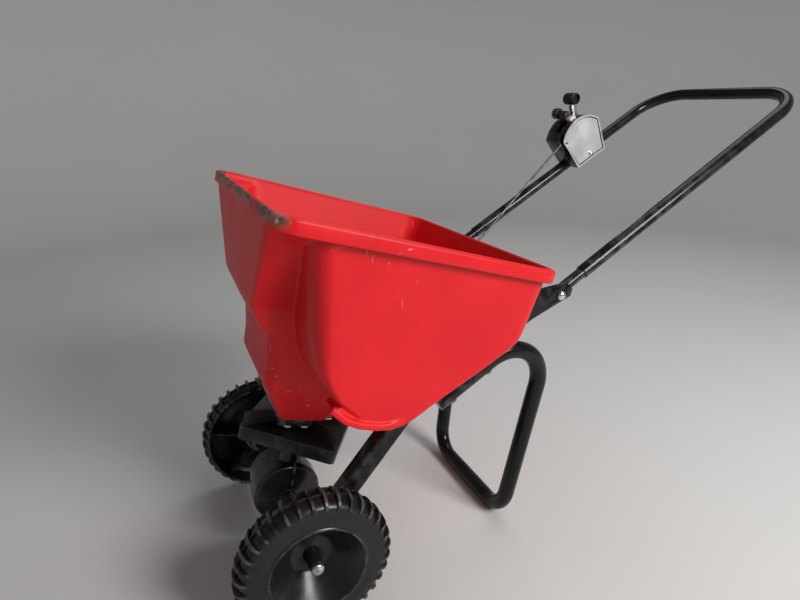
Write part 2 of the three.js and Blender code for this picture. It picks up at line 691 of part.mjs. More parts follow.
function boxBaseSolid() {
  const shell = asSolid(extrudeX(boxOutline(0), BOX.backX, BOX.coverX - GAP, 8));
  const tubeLow = linePoint(-HANDLE.x, 420);
  const tubeHigh = linePoint(-HANDLE.x, 560);
  const room = cut(asSolid(extrudeX(boxOutline(BOX.wall), BOX.backX + BOX.wall, BOX.coverX + 5, 8)), [
    sweep([tubeLow, tubeHigh], circle(HANDLE.radius + 3), 6),
  ]);
  const rodWindow = extrudeX(slotSector(30, 70, 176, 214), ROD.x - 4, BOX.coverX + 5, 3);
  const boss = rodX(5, BOX.backX + 1, -136, PIVOT.y, PIVOT.z, 16);
  return cut(shell.subtract(room).add(asSolid(boss)), [
    sweep([tubeLow, tubeHigh], circle(HANDLE.radius + GAP), 6),
    extrudeX(slotSector(46, 60, 95, 172), LEVER.x - 7, LEVER.x + 7, 6),
    rodWindow,
    rodX(3.3, BOX.backX + 2, -100, PIVOT.y, PIVOT.z, 12),
  ]);
}

function boxCoverSolid() {
  const plate = extrudeX(boxOutline(0), BOX.coverX, BOX.coverX + 3, 8);
  const border = cut(asSolid(extrudeX(boxOutline(0), BOX.coverX + 2, BOX.coverX + 4.6, 8)), [
    extrudeX(boxOutline(3.2), BOX.coverX + 1, BOX.coverX + 8, 8),
  ]);
  return cut(asSolid(plate).add(border), [
    rodX(COVER_SCREW.bore, BOX.coverX - 5, BOX.coverX + 9, COVER_SCREW.y, COVER_SCREW.z, 12),
  ]);
}

function leverSolid() {
  const angle = THREE.MathUtils.degToRad(LEVER.angle);
  const along = new THREE.Vector2(Math.cos(angle), Math.sin(angle));
  const acrossArm = new THREE.Vector2(-along.y, along.x);
  const at = (run, off) => [
    PIVOT.y + along.x * run + acrossArm.x * off, PIVOT.z + along.y * run + acrossArm.y * off,
  ];
  const strip = polygon([at(0, -7), at(40, -4.6), at(84, -4.6), at(84, 4.6), at(40, 4.6), at(0, 7)]);
  const crankEnd = new THREE.Vector2(crankPin.x - PIVOT.y, crankPin.y - PIVOT.z).normalize();
  const crankSide = new THREE.Vector2(-crankEnd.y, crankEnd.x);
  const near = (run, off) => [
    PIVOT.y + crankEnd.x * run + crankSide.x * off, PIVOT.z + crankEnd.y * run + crankSide.y * off,
  ];
  const crank = polygon([near(0, -8), near(LEVER.crank + 10, -6), near(LEVER.crank + 10, 6), near(0, 8)]);
  const slot = polygon([
    near(LEVER.crank - 3, -3.2), near(LEVER.crank + 6.4, -3.2),
    near(LEVER.crank + 6.4, 3.2), near(LEVER.crank - 3, 3.2),
  ]);
  const solid = joined([
    extrudeX(strip, LEVER.x + 2.4, LEVER.x + 4.6),
    extrudeX(strip, LEVER.x - 4.6, LEVER.x - 2.4),
    extrudeX(circle(9, PIVOT.y, PIVOT.z), LEVER.x - 5.4, LEVER.x + 16, 8),
    extrudeX(polygon([at(70, -3), at(78, -3), at(78, 3), at(70, 3)]), LEVER.x - 3, LEVER.x + 3),
    extrudeX(crank, LEVER.x + 6.5, LEVER.x + 9),
    extrudeX(circle(9, PIVOT.y, PIVOT.z), LEVER.x + 6, LEVER.x + 12, 8),
  ]);
  return cut(solid, [
    rodX(3.2, LEVER.x - 10, LEVER.x + 20, PIVOT.y, PIVOT.z, 14),
    extrudeX(slot, LEVER.x + 6, LEVER.x + 10),
  ]);
}

function leverKnobSolid() {
  const angle = THREE.MathUtils.degToRad(LEVER.angle);
  const y = PIVOT.y + LEVER.knobReach * Math.cos(angle);
  const z = PIVOT.z + LEVER.knobReach * Math.sin(angle);
  const knob = latheX([
    [0, -13], [8.5, -13], [10.5, -11], [10.5, 11], [9.4, 13], [7.6, 13], [7.2, 9.5], [0, 9.5],
  ], 24).translate(LEVER.x, y, z);
  const alongY = Math.cos(angle);
  const alongZ = Math.sin(angle);
  const socket = box(10.4, 24, 9.8, 0, 0, 0);
  socket.rotateX(angle);
  socket.translate(LEVER.x, y - alongY * 12.6, z - alongZ * 12.6);
  return cut(asSolid(knob), [socket]);
}

function pivotPinSolid() {
  return rodX(2.9, BOX.backX + 3, BOX.coverX - 1, PIVOT.y, PIVOT.z, 14);
}

function rateStopSolid() {
  const block = extrudeX(slotSector(BOX.arcRadius + 0.5, BOX.arcRadius + 16, 136, 144), -144, -124, 2);
  const tooth = extrudeX(slotSector(BOX.arcRadius - 7, BOX.arcRadius + 4, 138, 142), LEVER.x - 4, LEVER.x + 4, 2);
  const post = rodX(3, -152, -143, stopCentre().x, stopCentre().y, 12);
  return joined([block, tooth, post]);
}

function stopCentre() {
  const angle = THREE.MathUtils.degToRad(140);
  const reach = BOX.arcRadius + 12.6;
  return new THREE.Vector2(PIVOT.y + reach * Math.cos(angle), PIVOT.z + reach * Math.sin(angle));
}

function stopKnobSolid() {
  const shape = new THREE.Shape();
  const lobes = 12;
  for (let i = 0; i < lobes * 2; i += 1) {
    const angle = Math.PI * i / lobes;
    const radius = i % 2 === 0 ? 10 : 7.4;
    const x = stopCentre().x + radius * Math.cos(angle);
    const y = stopCentre().y + radius * Math.sin(angle);
    if (i === 0) shape.moveTo(x, y);
    else shape.lineTo(x, y);
  }
  const knob = extrudeX(shape, -158, -144 - GAP);
  return cut(asSolid(knob), [rodX(3 + GAP, -152 - GAP, -140, stopCentre().x, stopCentre().y, 12)]);
}

function stopPointer() {
  return extrudeX(slotSector(BOX.arcRadius + 0.5, BOX.arcRadius + 7, 136, 146), -124 + GAP, -113, 2);
}

function controlRodSolid() {
  const top = new THREE.Vector3(ROD.x, crankPin.x, crankPin.y);
  const tail = new THREE.Vector3(ROD.x, ROD.tailY, ROD.tailZ);
  const corners = [
    new THREE.Vector3(LEVER.x + 5.6, top.y, top.z), top, tail,
    new THREE.Vector3(-97, tail.y, tail.z),
  ];
  return sweep(bentPath(corners, 3.4, 30), circle(ROD.radius), 4);
}

// ---------------------------------------------------------------- assembly

const spreader = new THREE.Group();
spreader.position.y = REST_SHIFT_Y;

const leaning = new THREE.Group();
leaning.position.z = WHEEL.radius;
leaning.rotation.x = -LEAN;
spreader.add(leaning);

const rolling = new THREE.Group();
rolling.position.z = WHEEL.radius;
spreader.add(rolling);

const sides = [['left', 1], ['right', -1]];

leaning.add(piece('hopper', hopperSolid(), 'redPoly'));

for (const [label, side] of sides) {
  leaning.add(piece(`side_rail_${label}`, railSolid(side), 'blackPaint'));
  leaning.add(piece(`axle_bush_${label}`, railBush(side), 'blackPlastic'));
  leaning.add(piece(`hopper_bracket_${label}`, hopperBracket(side), 'blackPaint'));
  const boltX = side * (HANDLE.x + HANDLE.innerRadius + 3 + GAP * 2);
  const { y: boltY, z: boltZ } = BRACKET_BOLT;
  leaning.add(piece(`bracket_bolt_${label}`, domeBolt(side, boltX, boltY, boltZ, 26), 'zincSteel'));
  const nutX = side * (HANDLE.x - HANDLE.innerRadius - GAP);
  leaning.add(piece(`bracket_nut_${label}`, hexNut(-side, nutX, boltY, boltZ, 3.9), 'zincSteel'));
  leaning.add(piece(`stand_bolt_front_${label}`, standBolt(side, 132), 'zincSteel'));
  leaning.add(piece(`stand_bolt_rear_${label}`, standBolt(side, 176), 'zincSteel'));
  leaning.add(piece(`gate_guide_${label}`, gateGuide(side), 'blackPlastic'));
  leaning.add(piece(`guide_bolt_front_${label}`, guideBolt(side, -42), 'zincSteel'));
  leaning.add(piece(`guide_bolt_rear_${label}`, guideBolt(side, -18), 'zincSteel'));
}

leaning.add(piece('handle', handleSolid(), 'blackPaint'));
leaning.add(piece('stand', standSolid(), 'blackPaint'));

leaning.add(piece('gearbox_front', gearboxHalf(-1), 'blackPlastic'));
leaning.add(piece('gearbox_rear', gearboxHalf(1), 'blackPlastic'));

leaning.add(piece('pinion', pinionSolid(), 'paleNylon'));
leaning.add(piece('shaft', shaftSolid(), 'greySteel'));
leaning.add(piece('agitator', agitatorSolid(), 'zincSteel'));
const impeller = piece('impeller', impellerSolid(), 'blackPlastic');
impeller.rotation.z = THREE.MathUtils.degToRad(IMPELLER.turnDeg - 45);
leaning.add(impeller);

leaning.add(piece('gate', gateSolid(), 'greySteel'));

leaning.add(piece('control_base', boxBaseSolid(), 'glossPlastic'));
leaning.add(piece('control_cover', boxCoverSolid(), 'glossPlastic'));
const coverScrewX = BOX.coverX + 3.2;
const coverScrew = domeBolt(1, coverScrewX, COVER_SCREW.y, COVER_SCREW.z, 20, 2.4, 4.2);
leaning.add(piece('cover_screw', coverScrew, 'zincSteel'));
leaning.add(piece('lever', leverSolid(), 'zincSteel'));
leaning.add(piece('lever_knob', leverKnobSolid(), 'blackPlastic'));
leaning.add(piece('lever_pin', pivotPinSolid(), 'greySteel'));
leaning.add(piece('rate_stop', rateStopSolid(), 'blackPlastic'));
leaning.add(piece('rate_stop_knob', stopKnobSolid(), 'blackPlastic'));
leaning.add(piece('rate_pointer', stopPointer(), 'paleNylon'));
leaning.add(piece('control_rod', controlRodSolid(), 'greySteel'));

rolling.add(piece('axle', rodX(AXLE.radius, -AXLE.halfLength, AXLE.halfLength, 0, 0, 24), 'greySteel'));
for (const [label, side] of sides) {
  const wheel = piece(`wheel_${label}`, wheelSolid(), 'blackPlastic');
  wheel.position.x = side * WHEEL.planeX;
  if (side < 0) wheel.rotation.z = Math.PI;
  rolling.add(wheel);
  rolling.add(piece(`axle_nut_${label}`, axleNut(side), 'zincSteel'));
}

const ringGear = piece('ring_gear', ringGearSolid(), 'paleNylon');
ringGear.rotation.x = -LEAN;
rolling.add(ringGear);

export default spreader;
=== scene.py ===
# Garden spreader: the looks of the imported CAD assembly.
#
# Pieces are drawn in millimetres in the pushing attitude (origin on the axle, hopper rim level),
# as the CAD is, and PUSH places them in the row frame in metres.
import json
import math

import bmesh
import bpy
from mathutils import Matrix, Vector

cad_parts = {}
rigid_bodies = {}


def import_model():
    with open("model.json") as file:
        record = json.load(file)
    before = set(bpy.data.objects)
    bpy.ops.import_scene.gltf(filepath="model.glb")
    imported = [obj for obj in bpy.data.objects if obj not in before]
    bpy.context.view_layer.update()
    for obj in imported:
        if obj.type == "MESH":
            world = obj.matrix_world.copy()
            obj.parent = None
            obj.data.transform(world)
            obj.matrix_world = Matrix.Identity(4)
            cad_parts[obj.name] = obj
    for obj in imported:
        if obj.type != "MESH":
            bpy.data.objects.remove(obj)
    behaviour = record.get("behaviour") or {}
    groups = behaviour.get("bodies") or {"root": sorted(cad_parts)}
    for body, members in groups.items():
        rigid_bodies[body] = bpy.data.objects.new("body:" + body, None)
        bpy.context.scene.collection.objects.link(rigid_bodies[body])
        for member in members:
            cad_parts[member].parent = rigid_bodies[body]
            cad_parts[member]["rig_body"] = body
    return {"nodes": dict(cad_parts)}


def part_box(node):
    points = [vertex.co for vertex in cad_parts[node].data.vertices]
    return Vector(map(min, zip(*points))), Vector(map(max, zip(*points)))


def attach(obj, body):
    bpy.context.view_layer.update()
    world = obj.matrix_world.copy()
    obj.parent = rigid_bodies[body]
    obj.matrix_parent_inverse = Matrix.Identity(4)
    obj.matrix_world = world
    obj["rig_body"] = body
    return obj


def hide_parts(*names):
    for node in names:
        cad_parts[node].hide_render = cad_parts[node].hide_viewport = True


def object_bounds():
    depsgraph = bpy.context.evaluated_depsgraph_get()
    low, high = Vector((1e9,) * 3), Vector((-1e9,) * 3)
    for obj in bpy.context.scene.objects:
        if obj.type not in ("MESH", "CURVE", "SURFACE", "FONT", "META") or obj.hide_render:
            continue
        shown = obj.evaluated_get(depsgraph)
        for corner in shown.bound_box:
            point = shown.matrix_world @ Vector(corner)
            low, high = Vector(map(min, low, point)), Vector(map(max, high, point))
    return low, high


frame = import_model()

CAD_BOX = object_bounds()
SCENE = bpy.context.scene
SIDES = (("left", 1), ("right", -1))

# ---------------------------------------------------------------- driving sizes, in millimetres

MM = 0.001
LEAN = math.radians(17.1)
GAP = 0.3

WHEEL_RADIUS = 104.0
LUGS = 36

RIM = {
    "bottom": 420, "top": 437, "front": -158, "rear": 219, "half_front": 222, "half_rear": 206, "skin": 2.6,
}
WALL = 3.0
CHANNEL_CLEAR = 1.2
CHANNEL_END_Y = 262
SUMP_BOTTOM = 152
SHAFT_RADIUS = 5.0
SHAFT_CLEAR = 1.2

RAIL_X = 130.0
RAIL_SIZE = 25.0
RAIL_CORNER = 3.5
RAIL_BORE = 8.3
RAIL_FOOT = (-6, -13.4)
RAIL_KNEE = (96.2, 213.1)
RAIL_BEND = 60
RAIL_END_Y = 196.0

HANDLE_X = 144.0
HANDLE_LOW = Vector((269, 396))
HANDLE_CORNER = Vector((641.9, 790.7))
HANDLE_RADIUS = 9.75
HANDLE_INNER = 8.0
HANDLE_BEND = 66.0
SLEEVE_START = 56.0
SLEEVE_OVERLAP = 44.0
SLEEVE_DEPTH = 62.0
LOWER_TUBE_Y = 150.0
HANDLE_LINE = (HANDLE_CORNER - HANDLE_LOW).normalized()

STAND_RADIUS = 12.7
STAND_CORNERS = ((135, 136, 217), (135, 294.2, 384.4), (106, 347, 11.5))
STAND_BEND = 65.0
STAND_FOOT_BEND = 44.0
STAND_DROP = 26.4  # from the rail's line down to the middle of the stand's tube


def centre_of(node):
    low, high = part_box(node)
    return (low + high) / 2


# PUSH leans with the frame. ROLL is for what is drawn upright about the axle.
AXLE = centre_of("axle")
ROLL = Matrix.Translation(AXLE) @ Matrix.Scale(MM, 4)
PUSH = Matrix.Translation(AXLE) @ Matrix.Rotation(-LEAN, 4, "X") @ Matrix.Scale(MM, 4)

# ---------------------------------------------------------------- mesh tools


def mesh_piece(name, points, faces):
    """A new object from points and faces, welded, with its faces turned outwards."""
    mesh = bpy.data.meshes.new(name)
    mesh.from_pydata([tuple(p) for p in points], [], faces)
    work = bmesh.new()
    work.from_mesh(mesh)
    bmesh.ops.remove_doubles(work, verts=work.verts, dist=1e-4)
    bmesh.ops.dissolve_degenerate(work, edges=work.edges, dist=1e-5)
    bmesh.ops.recalc_face_normals(work, faces=work.faces)
    work.to_mesh(mesh)
    work.free()
    piece = bpy.data.objects.new(name, mesh)
    SCENE.collection.objects.link(piece)
    return piece


def grid_faces(rows, columns, wrap_rows, wrap_columns=True):
    faces = []
    for i in range(rows if wrap_rows else rows - 1):
        for k in range(columns if wrap_columns else columns - 1):
            here, there = i * columns, (i + 1) % rows * columns
            after = (k + 1) % columns
            faces.append((here + k, here + after, there + after, there + k))
    return faces


def lathe(name, profile, segments=64, axis="X"):
    """Turns (radius, along) points about an axis. The profile ends on the axis, or on its own start."""
    closed = profile[0] == profile[-1]
    rows = profile[:-1] if closed else profile
    points = []
    for radius, along in rows:
        for k in range(segments):
            angle = math.tau * k / segments
            across, up = radius * math.cos(angle), radius * math.sin(angle)
            points.append((along, across, up) if axis == "X" else (across, up, along))
    return mesh_piece(name, points, grid_faces(len(rows), segments, closed))


def circle(radius, steps=28):
    angles = [math.tau * k / steps for k in range(steps)]
    return [(radius * math.cos(angle), radius * math.sin(angle)) for angle in angles]


def rounded(width, height, corner, steps=6, centre=(0, 0)):
    """A rectangle with round corners, anticlockwise from its right side."""
    points = []
    for quarter, (right, up) in enumerate(((1, 1), (-1, 1), (-1, -1), (1, -1))):
        for k in range(steps + 1):
            angle = math.pi / 2 * (quarter + k / steps)
            points.append((
                centre[0] + right * (width / 2 - corner) + corner * math.cos(angle),
                centre[1] + up * (height / 2 - corner) + corner * math.sin(angle),
            ))
    return points


def bent_path(corners, radius, step_deg=4):
    """Straight runs between corners, each inner corner rounded to the bend radius."""
    corners = [Vector(corner) for corner in corners]
    points = [corners[0]]
    for before, corner, after in zip(corners, corners[1:], corners[2:]):
        into = (corner - before).normalized()
        out = (after - corner).normalized()
        turn = into.angle(out)
        start = corner - into * radius * math.tan(turn / 2)
        side = (out - into * out.dot(into)).normalized()
        centre = start + side * radius
        steps = max(2, math.ceil(math.degrees(turn) / step_deg))
        for k in range(steps + 1):
            angle = turn * k / steps
            points.append(centre - side * radius * math.cos(angle) + into * radius * math.sin(angle))
    points.append(corners[-1])
    return points


def sweep(name, path, section, first_side=(1, 0, 0)):
    """Carries a section along a path without twisting it, and closes both ends."""
    path = [Vector(p) for p in path]
    points = []
    side = Vector(first_side)
    for index, here in enumerate(path):
        into = here - path[max(index - 1, 0)]
        out = path[min(index + 1, len(path) - 1)] - here
        tangent = (into.normalized() + out.normalized()).normalized()
        side = (side - tangent * side.dot(tangent)).normalized()
        up = tangent.cross(side)
        for u, v in section:
            points.append(here + side * u + up * v)
    count = len(section)
    faces = grid_faces(len(path), count, False)
    faces.append(tuple(range(count)))
    faces.append(tuple(range((len(path) - 1) * count, len(path) * count)))
    return mesh_piece(name, points, faces)


def prism(name, outline, low, high, axis="Z"):
    """An outline drawn in (x, y) and raised along Z, or drawn in (y, z) and raised along X."""
    points = []
    for level in (low, high):
        for a, b in outline:
            points.append((a, b, level) if axis == "Z" else (level, a, b))
    count = len(outline)
    faces = grid_faces(2, count, False)
    faces.append(tuple(range(count)))
    faces.append(tuple(range(count, count * 2)))
    return mesh_piece(name, points, faces)


def block(name, size, centre=(0, 0, 0)):
    x, y, z = (side / 2 for side in size)
    piece = prism(name, [(-x, -y), (x, -y), (x, y), (-x, y)], -z, z)
    piece.data.transform(Matrix.Translation(centre))
    return piece


def apply_modifiers(piece):
    graph = bpy.context.evaluated_depsgraph_get()
    finished = bpy.data.meshes.new_from_object(piece.evaluated_get(graph))
    piece.modifiers.clear()
    piece.data = finished
    return piece


def combine(piece, tools, operation):
    """Joins, cuts or intersects a piece with closed tools, which are used up."""
    for tool in tools:
        modifier = piece.modifiers.new("combine", "BOOLEAN")
        modifier.operation = operation
        modifier.solver = "MANIFOLD"
        modifier.object = tool
    apply_modifiers(piece)
    for tool in tools:
        bpy.data.objects.remove(tool)
    return piece


def add(piece, *tools):
    return combine(piece, tools, "UNION")


def cut(piece, *tools):
    return combine(piece, tools, "DIFFERENCE")


def keep(piece, *tools):
    return combine(piece, tools, "INTERSECT")


def moulded(piece, voxel, passes):
    """Rounds every edge and corner of a solid as a mould does."""
    remesh = piece.modifiers.new("remesh", "REMESH")
    remesh.mode = "VOXEL"
    remesh.voxel_size = voxel
    smooth = piece.modifiers.new("smooth", "SMOOTH")
    smooth.iterations = passes
    return apply_modifiers(piece)


def edge_round(piece, width, steps=2, angle=32):
    bevel = piece.modifiers.new("bevel", "BEVEL")
    bevel.width = width
    bevel.segments = steps
    bevel.limit_method = "ANGLE"
    bevel.angle_limit = math.radians(angle)
    return apply_modifiers(piece)


def settle(piece, nodes, material, place=PUSH, sharp=32):
    """Puts a finished piece in the row frame, on its body, in the place of its CAD nodes."""
    piece.data.transform(place)
    piece.data.shade_smooth()
    piece.data.set_sharp_from_angle(angle=math.radians(sharp))
    piece.data.materials.clear()
    piece.data.materials.append(material)
    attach(piece, frame["nodes"][nodes[0]]["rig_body"])
    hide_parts(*nodes)
    return piece


def refined(node, material, width=0.5, sharp=32):
    """A copy of a CAD node with clean faces and rounded edges."""
    mesh = frame["nodes"][node].data.copy()
    work = bmesh.new()
    work.from_mesh(mesh)
    bmesh.ops.remove_doubles(work, verts=work.verts, dist=1e-6)
    bmesh.ops.dissolve_limit(
        work, angle_limit=math.radians(0.6), verts=work.verts, edges=work.edges, delimit=set())
    work.to_mesh(mesh)
    work.free()
    if "custom_normal" in mesh.attributes:
        mesh.attributes.remove(mesh.attributes["custom_normal"])
    piece = bpy.data.objects.new(node + "_finish", mesh)
    SCENE.collection.objects.link(piece)
    if width:
        edge_round(piece, width * MM)
    return settle(piece, [node], material, Matrix.Identity(4), sharp)

# ---------------------------------------------------------------- materials


class Finish:
    """A Principled material, wired from noise fields read in the row frame."""

    def __init__(self, name, roughness, **sockets):
        self.material = bpy.data.materials.new(name)
        self.material.use_nodes = True
        self.tree = self.material.node_tree
        self.shader = self.tree.nodes["Principled BSDF"]
        self.place = self.tree.nodes.new("ShaderNodeTexCoord").outputs["Object"]
        self.roughness = roughness
        for socket, value in sockets.items():
            self.shader.inputs[socket.replace("_", " ")].default_value = value

    def link(self, source, target):
        self.tree.links.new(source, target)

    def noise(self, scale, detail=3.0, stretch=(1, 1, 1), tilt=(0, 0, 0), distortion=0.0):
        mapping = self.tree.nodes.new("ShaderNodeMapping")
        mapping.inputs["Scale"].default_value = stretch
        mapping.inputs["Rotation"].default_value = tilt
        self.link(self.place, mapping.inputs["Vector"])
        node = self.tree.nodes.new("ShaderNodeTexNoise")
        node.inputs["Scale"].default_value = scale
        node.inputs["Detail"].default_value = detail
        node.inputs["Distortion"].default_value = distortion
        self.link(mapping.outputs["Vector"], node.inputs["Vector"])
        return node.outputs["Fac"]

    def remap(self, source, low, high, to_low=0.0, to_high=1.0):
        node = self.tree.nodes.new("ShaderNodeMapRange")
        node.interpolation_type = "SMOOTHSTEP"
        values = {"From Min": low, "From Max": high, "To Min": to_low, "To Max": to_high}
        for socket, value in values.items():
            node.inputs[socket].default_value = value
        self.link(source, node.inputs["Value"])
        return node.outputs["Result"]

    def calculate(self, operation, first, second):
        node = self.tree.nodes.new("ShaderNodeMath")
        node.operation = operation
        for socket, value in zip(node.inputs, (first, second)):
            if isinstance(value, (int, float)):
                socket.default_value = value
            else:
                self.link(value, socket)
        return node.outputs["Value"]

    def both(self, *masks):
        result = masks[0]
        for mask in masks[1:]:
            result = self.calculate("MULTIPLY", result, mask)
        return result

    def along(self, direction, origin):
        """How far a point lies along a direction from an origin, in metres."""
        offset = self.tree.nodes.new("ShaderNodeVectorMath")
        offset.operation = "SUBTRACT"
        offset.inputs[1].default_value = origin
        self.link(self.place, offset.inputs[0])
        dot = self.tree.nodes.new("ShaderNodeVectorMath")
        dot.operation = "DOT_PRODUCT"
        dot.inputs[1].default_value = direction
        self.link(offset.outputs["Vector"], dot.inputs[0])
        return dot.outputs["Value"]

    def mix(self, mask, base, over):
        node = self.tree.nodes.new("ShaderNodeMix")
        node.data_type = "RGBA"
        self.link(mask, node.inputs["Factor"])
        for socket, colour in ((node.inputs["A"], base), (node.inputs["B"], over)):
            if isinstance(colour, tuple):
                socket.default_value = (*colour, 1)
            else:
                self.link(colour, socket)
        return node.outputs["Result"]

    def edges(self, low=0.52, high=0.6):
        """Nearly 0 on flat stretches, 1 on edges that stand proud."""
        return self.remap(self.tree.nodes.new("ShaderNodeNewGeometry").outputs["Pointiness"], low, high)

    def done(self, colour, roughness_field, spread, bump_field, bump_depth, strength=1.0):
        self.link(colour, self.shader.inputs["Base Color"])
        rough = self.remap(roughness_field, 0.3, 0.7, self.roughness - spread, self.roughness + spread)
        self.link(rough, self.shader.inputs["Roughness"])
        bump = self.tree.nodes.new("ShaderNodeBump")
        bump.inputs["Strength"].default_value = strength
        bump.inputs["Distance"].default_value = bump_depth * MM
        self.link(bump_field, bump.inputs["Height"])
        self.link(bump.outputs["Normal"], self.shader.inputs["Normal"])
        return self.material


PUSH_UP = (PUSH.to_3x3() @ Vector((0, 0, 1))).normalized()
PUSH_BACK = (PUSH.to_3x3() @ Vector((0, 1, 0))).normalized()


def red_polyethylene():
    """Moulded polyethylene: mottled red, fine white scuffs, a worn and chipped front rim."""
    finish = Finish("red_polyethylene", 0.44, Specular_IOR_Level=0.28)
    broad = finish.noise(7, 3)
    grain = finish.noise(260, 2)
    colour = finish.mix(finish.remap(broad, 0.35, 0.65), (0.70, 0.008, 0.014), (0.80, 0.014, 0.020))
    patches = finish.remap(finish.noise(9, 4), 0.5, 0.68)
    for stretch, tilt in (((6, 60, 4), (0.5, 0, 0.3)), ((50, 5, 30), (0.9, 0.2, 0))):
        scratch = finish.remap(finish.noise(6, 2, stretch, tilt), 0.70, 0.735)
        colour = finish.mix(finish.both(scratch, patches), colour, (0.80, 0.20, 0.19))
    specks = finish.remap(finish.noise(150, 1), 0.76, 0.80, 0, 0.7)
    colour = finish.mix(finish.both(specks, patches), colour, (0.80, 0.55, 0.50))
    height = finish.along(PUSH_UP, AXLE)
    depth = finish.along(PUSH_BACK, AXLE)
    rim = finish.remap(height, 0.422, 0.430)
    front = finish.remap(depth, -0.138, -0.150)
    rub = finish.remap(height, 0.418, 0.432)
    chipped = finish.remap(finish.noise(38, 5, distortion=0.6), 0.46, 0.55)
    dust = finish.remap(finish.noise(22, 4), 0.36, 0.58, 0, 0.75)
    colour = finish.mix(finish.both(front, rub, dust), colour, (0.33, 0.19, 0.17))
    colour = finish.mix(finish.both(front, rim, chipped), colour, (0.13, 0.075, 0.05))
    pale = finish.remap(finish.noise(90, 3), 0.56, 0.66)
    colour = finish.mix(finish.both(front, rim, chipped, pale), colour, (0.50, 0.44, 0.38))
    return finish.done(colour, broad, 0.05, grain, 0.05, 0.5)


def black_finish(name, roughness, dark, light, grain_scale=240, grain_depth=0.05, spread=0.06, wear=0.0,
                 specular=0.3, **sockets):
    """A black moulding or paint: uneven tone and gloss, fine grain, paler on worn edges."""
    finish = Finish(name, roughness, Specular_IOR_Level=specular, **sockets)
    broad = finish.noise(11, 4)
    colour = finish.mix(finish.remap(broad, 0.35, 0.68), dark, light)
    if wear:
        rubbed = finish.both(finish.edges(), finish.remap(finish.noise(60, 4), 0.42, 0.62, 0, wear))
        colour = finish.mix(rubbed, colour, (0.16, 0.16, 0.155))
    return finish.done(colour, finish.noise(24, 4), spread, finish.noise(grain_scale, 2), grain_depth, 0.5)


def wheel_finish(name, stained):
    """Black polyethylene with dust in the tread; the stained wheel has grassy scuffs on its inner lip."""
    finish = Finish(name, 0.30, Specular_IOR_Level=0.40)
    broad = finish.noise(14, 4)
    colour = finish.mix(finish.remap(broad, 0.35, 0.68), (0.007, 0.007, 0.008), (0.013, 0.013, 0.014))
    dusty = finish.both(finish.edges(0.51, 0.56), finish.remap(finish.noise(70, 4), 0.40, 0.62, 0, 0.55))
    colour = finish.mix(dusty, colour, (0.13, 0.13, 0.125))
    if stained:
        inward = finish.along((1, 0, 0), centre_of("wheel_right"))
        patch = finish.remap(finish.noise(16, 2), 0.50, 0.60)
        streak = finish.remap(finish.noise(60, 4, distortion=1.5), 0.47, 0.60)
        lip = finish.remap(inward, 0.0175, 0.0195)
        colour = finish.mix(finish.both(lip, patch, streak), colour, (0.30, 0.33, 0.10))
    return finish.done(colour, finish.noise(30, 4), 0.07, finish.noise(220, 2), 0.05, 0.6)


def metal_finish(name, roughness, dark, light, brush=(1, 1, 1)):
    """Plated or bare steel: slight tarnish and fine drawing marks."""
    finish = Finish(name, roughness, Metallic=1.0)
    tarnish = finish.remap(finish.noise(45, 5), 0.38, 0.66)
    colour = finish.mix(tarnish, light, dark)
    return finish.done(colour, finish.noise(90, 4), 0.09, finish.noise(300, 3, brush), 0.03, 0.5)


def cover_finish():
    """A silver face; the groove round it and the plate's sides are painted near-black as shade."""
    finish = Finish("silver_cover", 0.40, Metallic=1.0)
    broad = finish.noise(26, 3)
    silver = finish.mix(finish.remap(broad, 0.3, 0.7), (0.80, 0.81, 0.83), (0.88, 0.89, 0.91))
    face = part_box("control_cover")[1]
    # Painted shade: everything more than about 2 mm behind the face turns near-black.
    painted_shade = finish.remap(finish.along((1, 0, 0), face), -0.0018, -0.0025)
    colour = finish.mix(painted_shade, silver, (0.012, 0.012, 0.013))
    return finish.done(colour, broad, 0.03, finish.noise(300, 2), 0.01, 0.3)


def nylon_finish():
    finish = Finish("pale_nylon", 0.5)
    broad = finish.noise(30, 3)
    colour = finish.mix(finish.remap(broad, 0.35, 0.65), (0.60, 0.58, 0.50), (0.72, 0.70, 0.63))
    return finish.done(colour, broad, 0.06, finish.noise(300, 2), 0.03, 0.5)


RED = red_polyethylene()
HOUSING = black_finish("black_moulding", 0.34, (0.007, 0.007, 0.008), (0.014, 0.014, 0.015), wear=0.6)
GLOSS = black_finish("gloss_moulding", 0.16, (0.006, 0.006, 0.008), (0.011, 0.011, 0.013), 400, 0.01,
                     spread=0.04, wear=0.9)
PAINT = black_finish("black_paint", 0.20, (0.005, 0.005, 0.006), (0.010, 0.010, 0.012), 500, 0.02,
                     wear=0.4, specular=0.2, Coat_Weight=0.12, Coat_Roughness=0.08)
DRUM_BLACK = black_finish("gearbox_moulding", 0.25, (0.007, 0.007, 0.008), (0.013, 0.013, 0.014),
                          wear=0.6, specular=0.5)
IMPELLER_BLACK = black_finish("impeller_moulding", 0.38, (0.012, 0.011, 0.011), (0.032, 0.028, 0.027),
                              wear=0.5)
DARK_STEEL = metal_finish("dark_wire", 0.38, (0.07, 0.07, 0.07), (0.16, 0.16, 0.16), (1, 1, 12))
TYRE = wheel_finish("wheel_moulding", False)
STAINED_TYRE = wheel_finish("wheel_moulding_stained", True)
ZINC = metal_finish("zinc_plate", 0.26, (0.46, 0.45, 0.42), (0.80, 0.80, 0.78))
STEEL = metal_finish("grey_steel", 0.34, (0.30, 0.29, 0.28), (0.60, 0.60, 0.60), (1, 1, 12))
SILVER = cover_finish()
NYLON = nylon_finish()

# ---------------------------------------------------------------- hopper

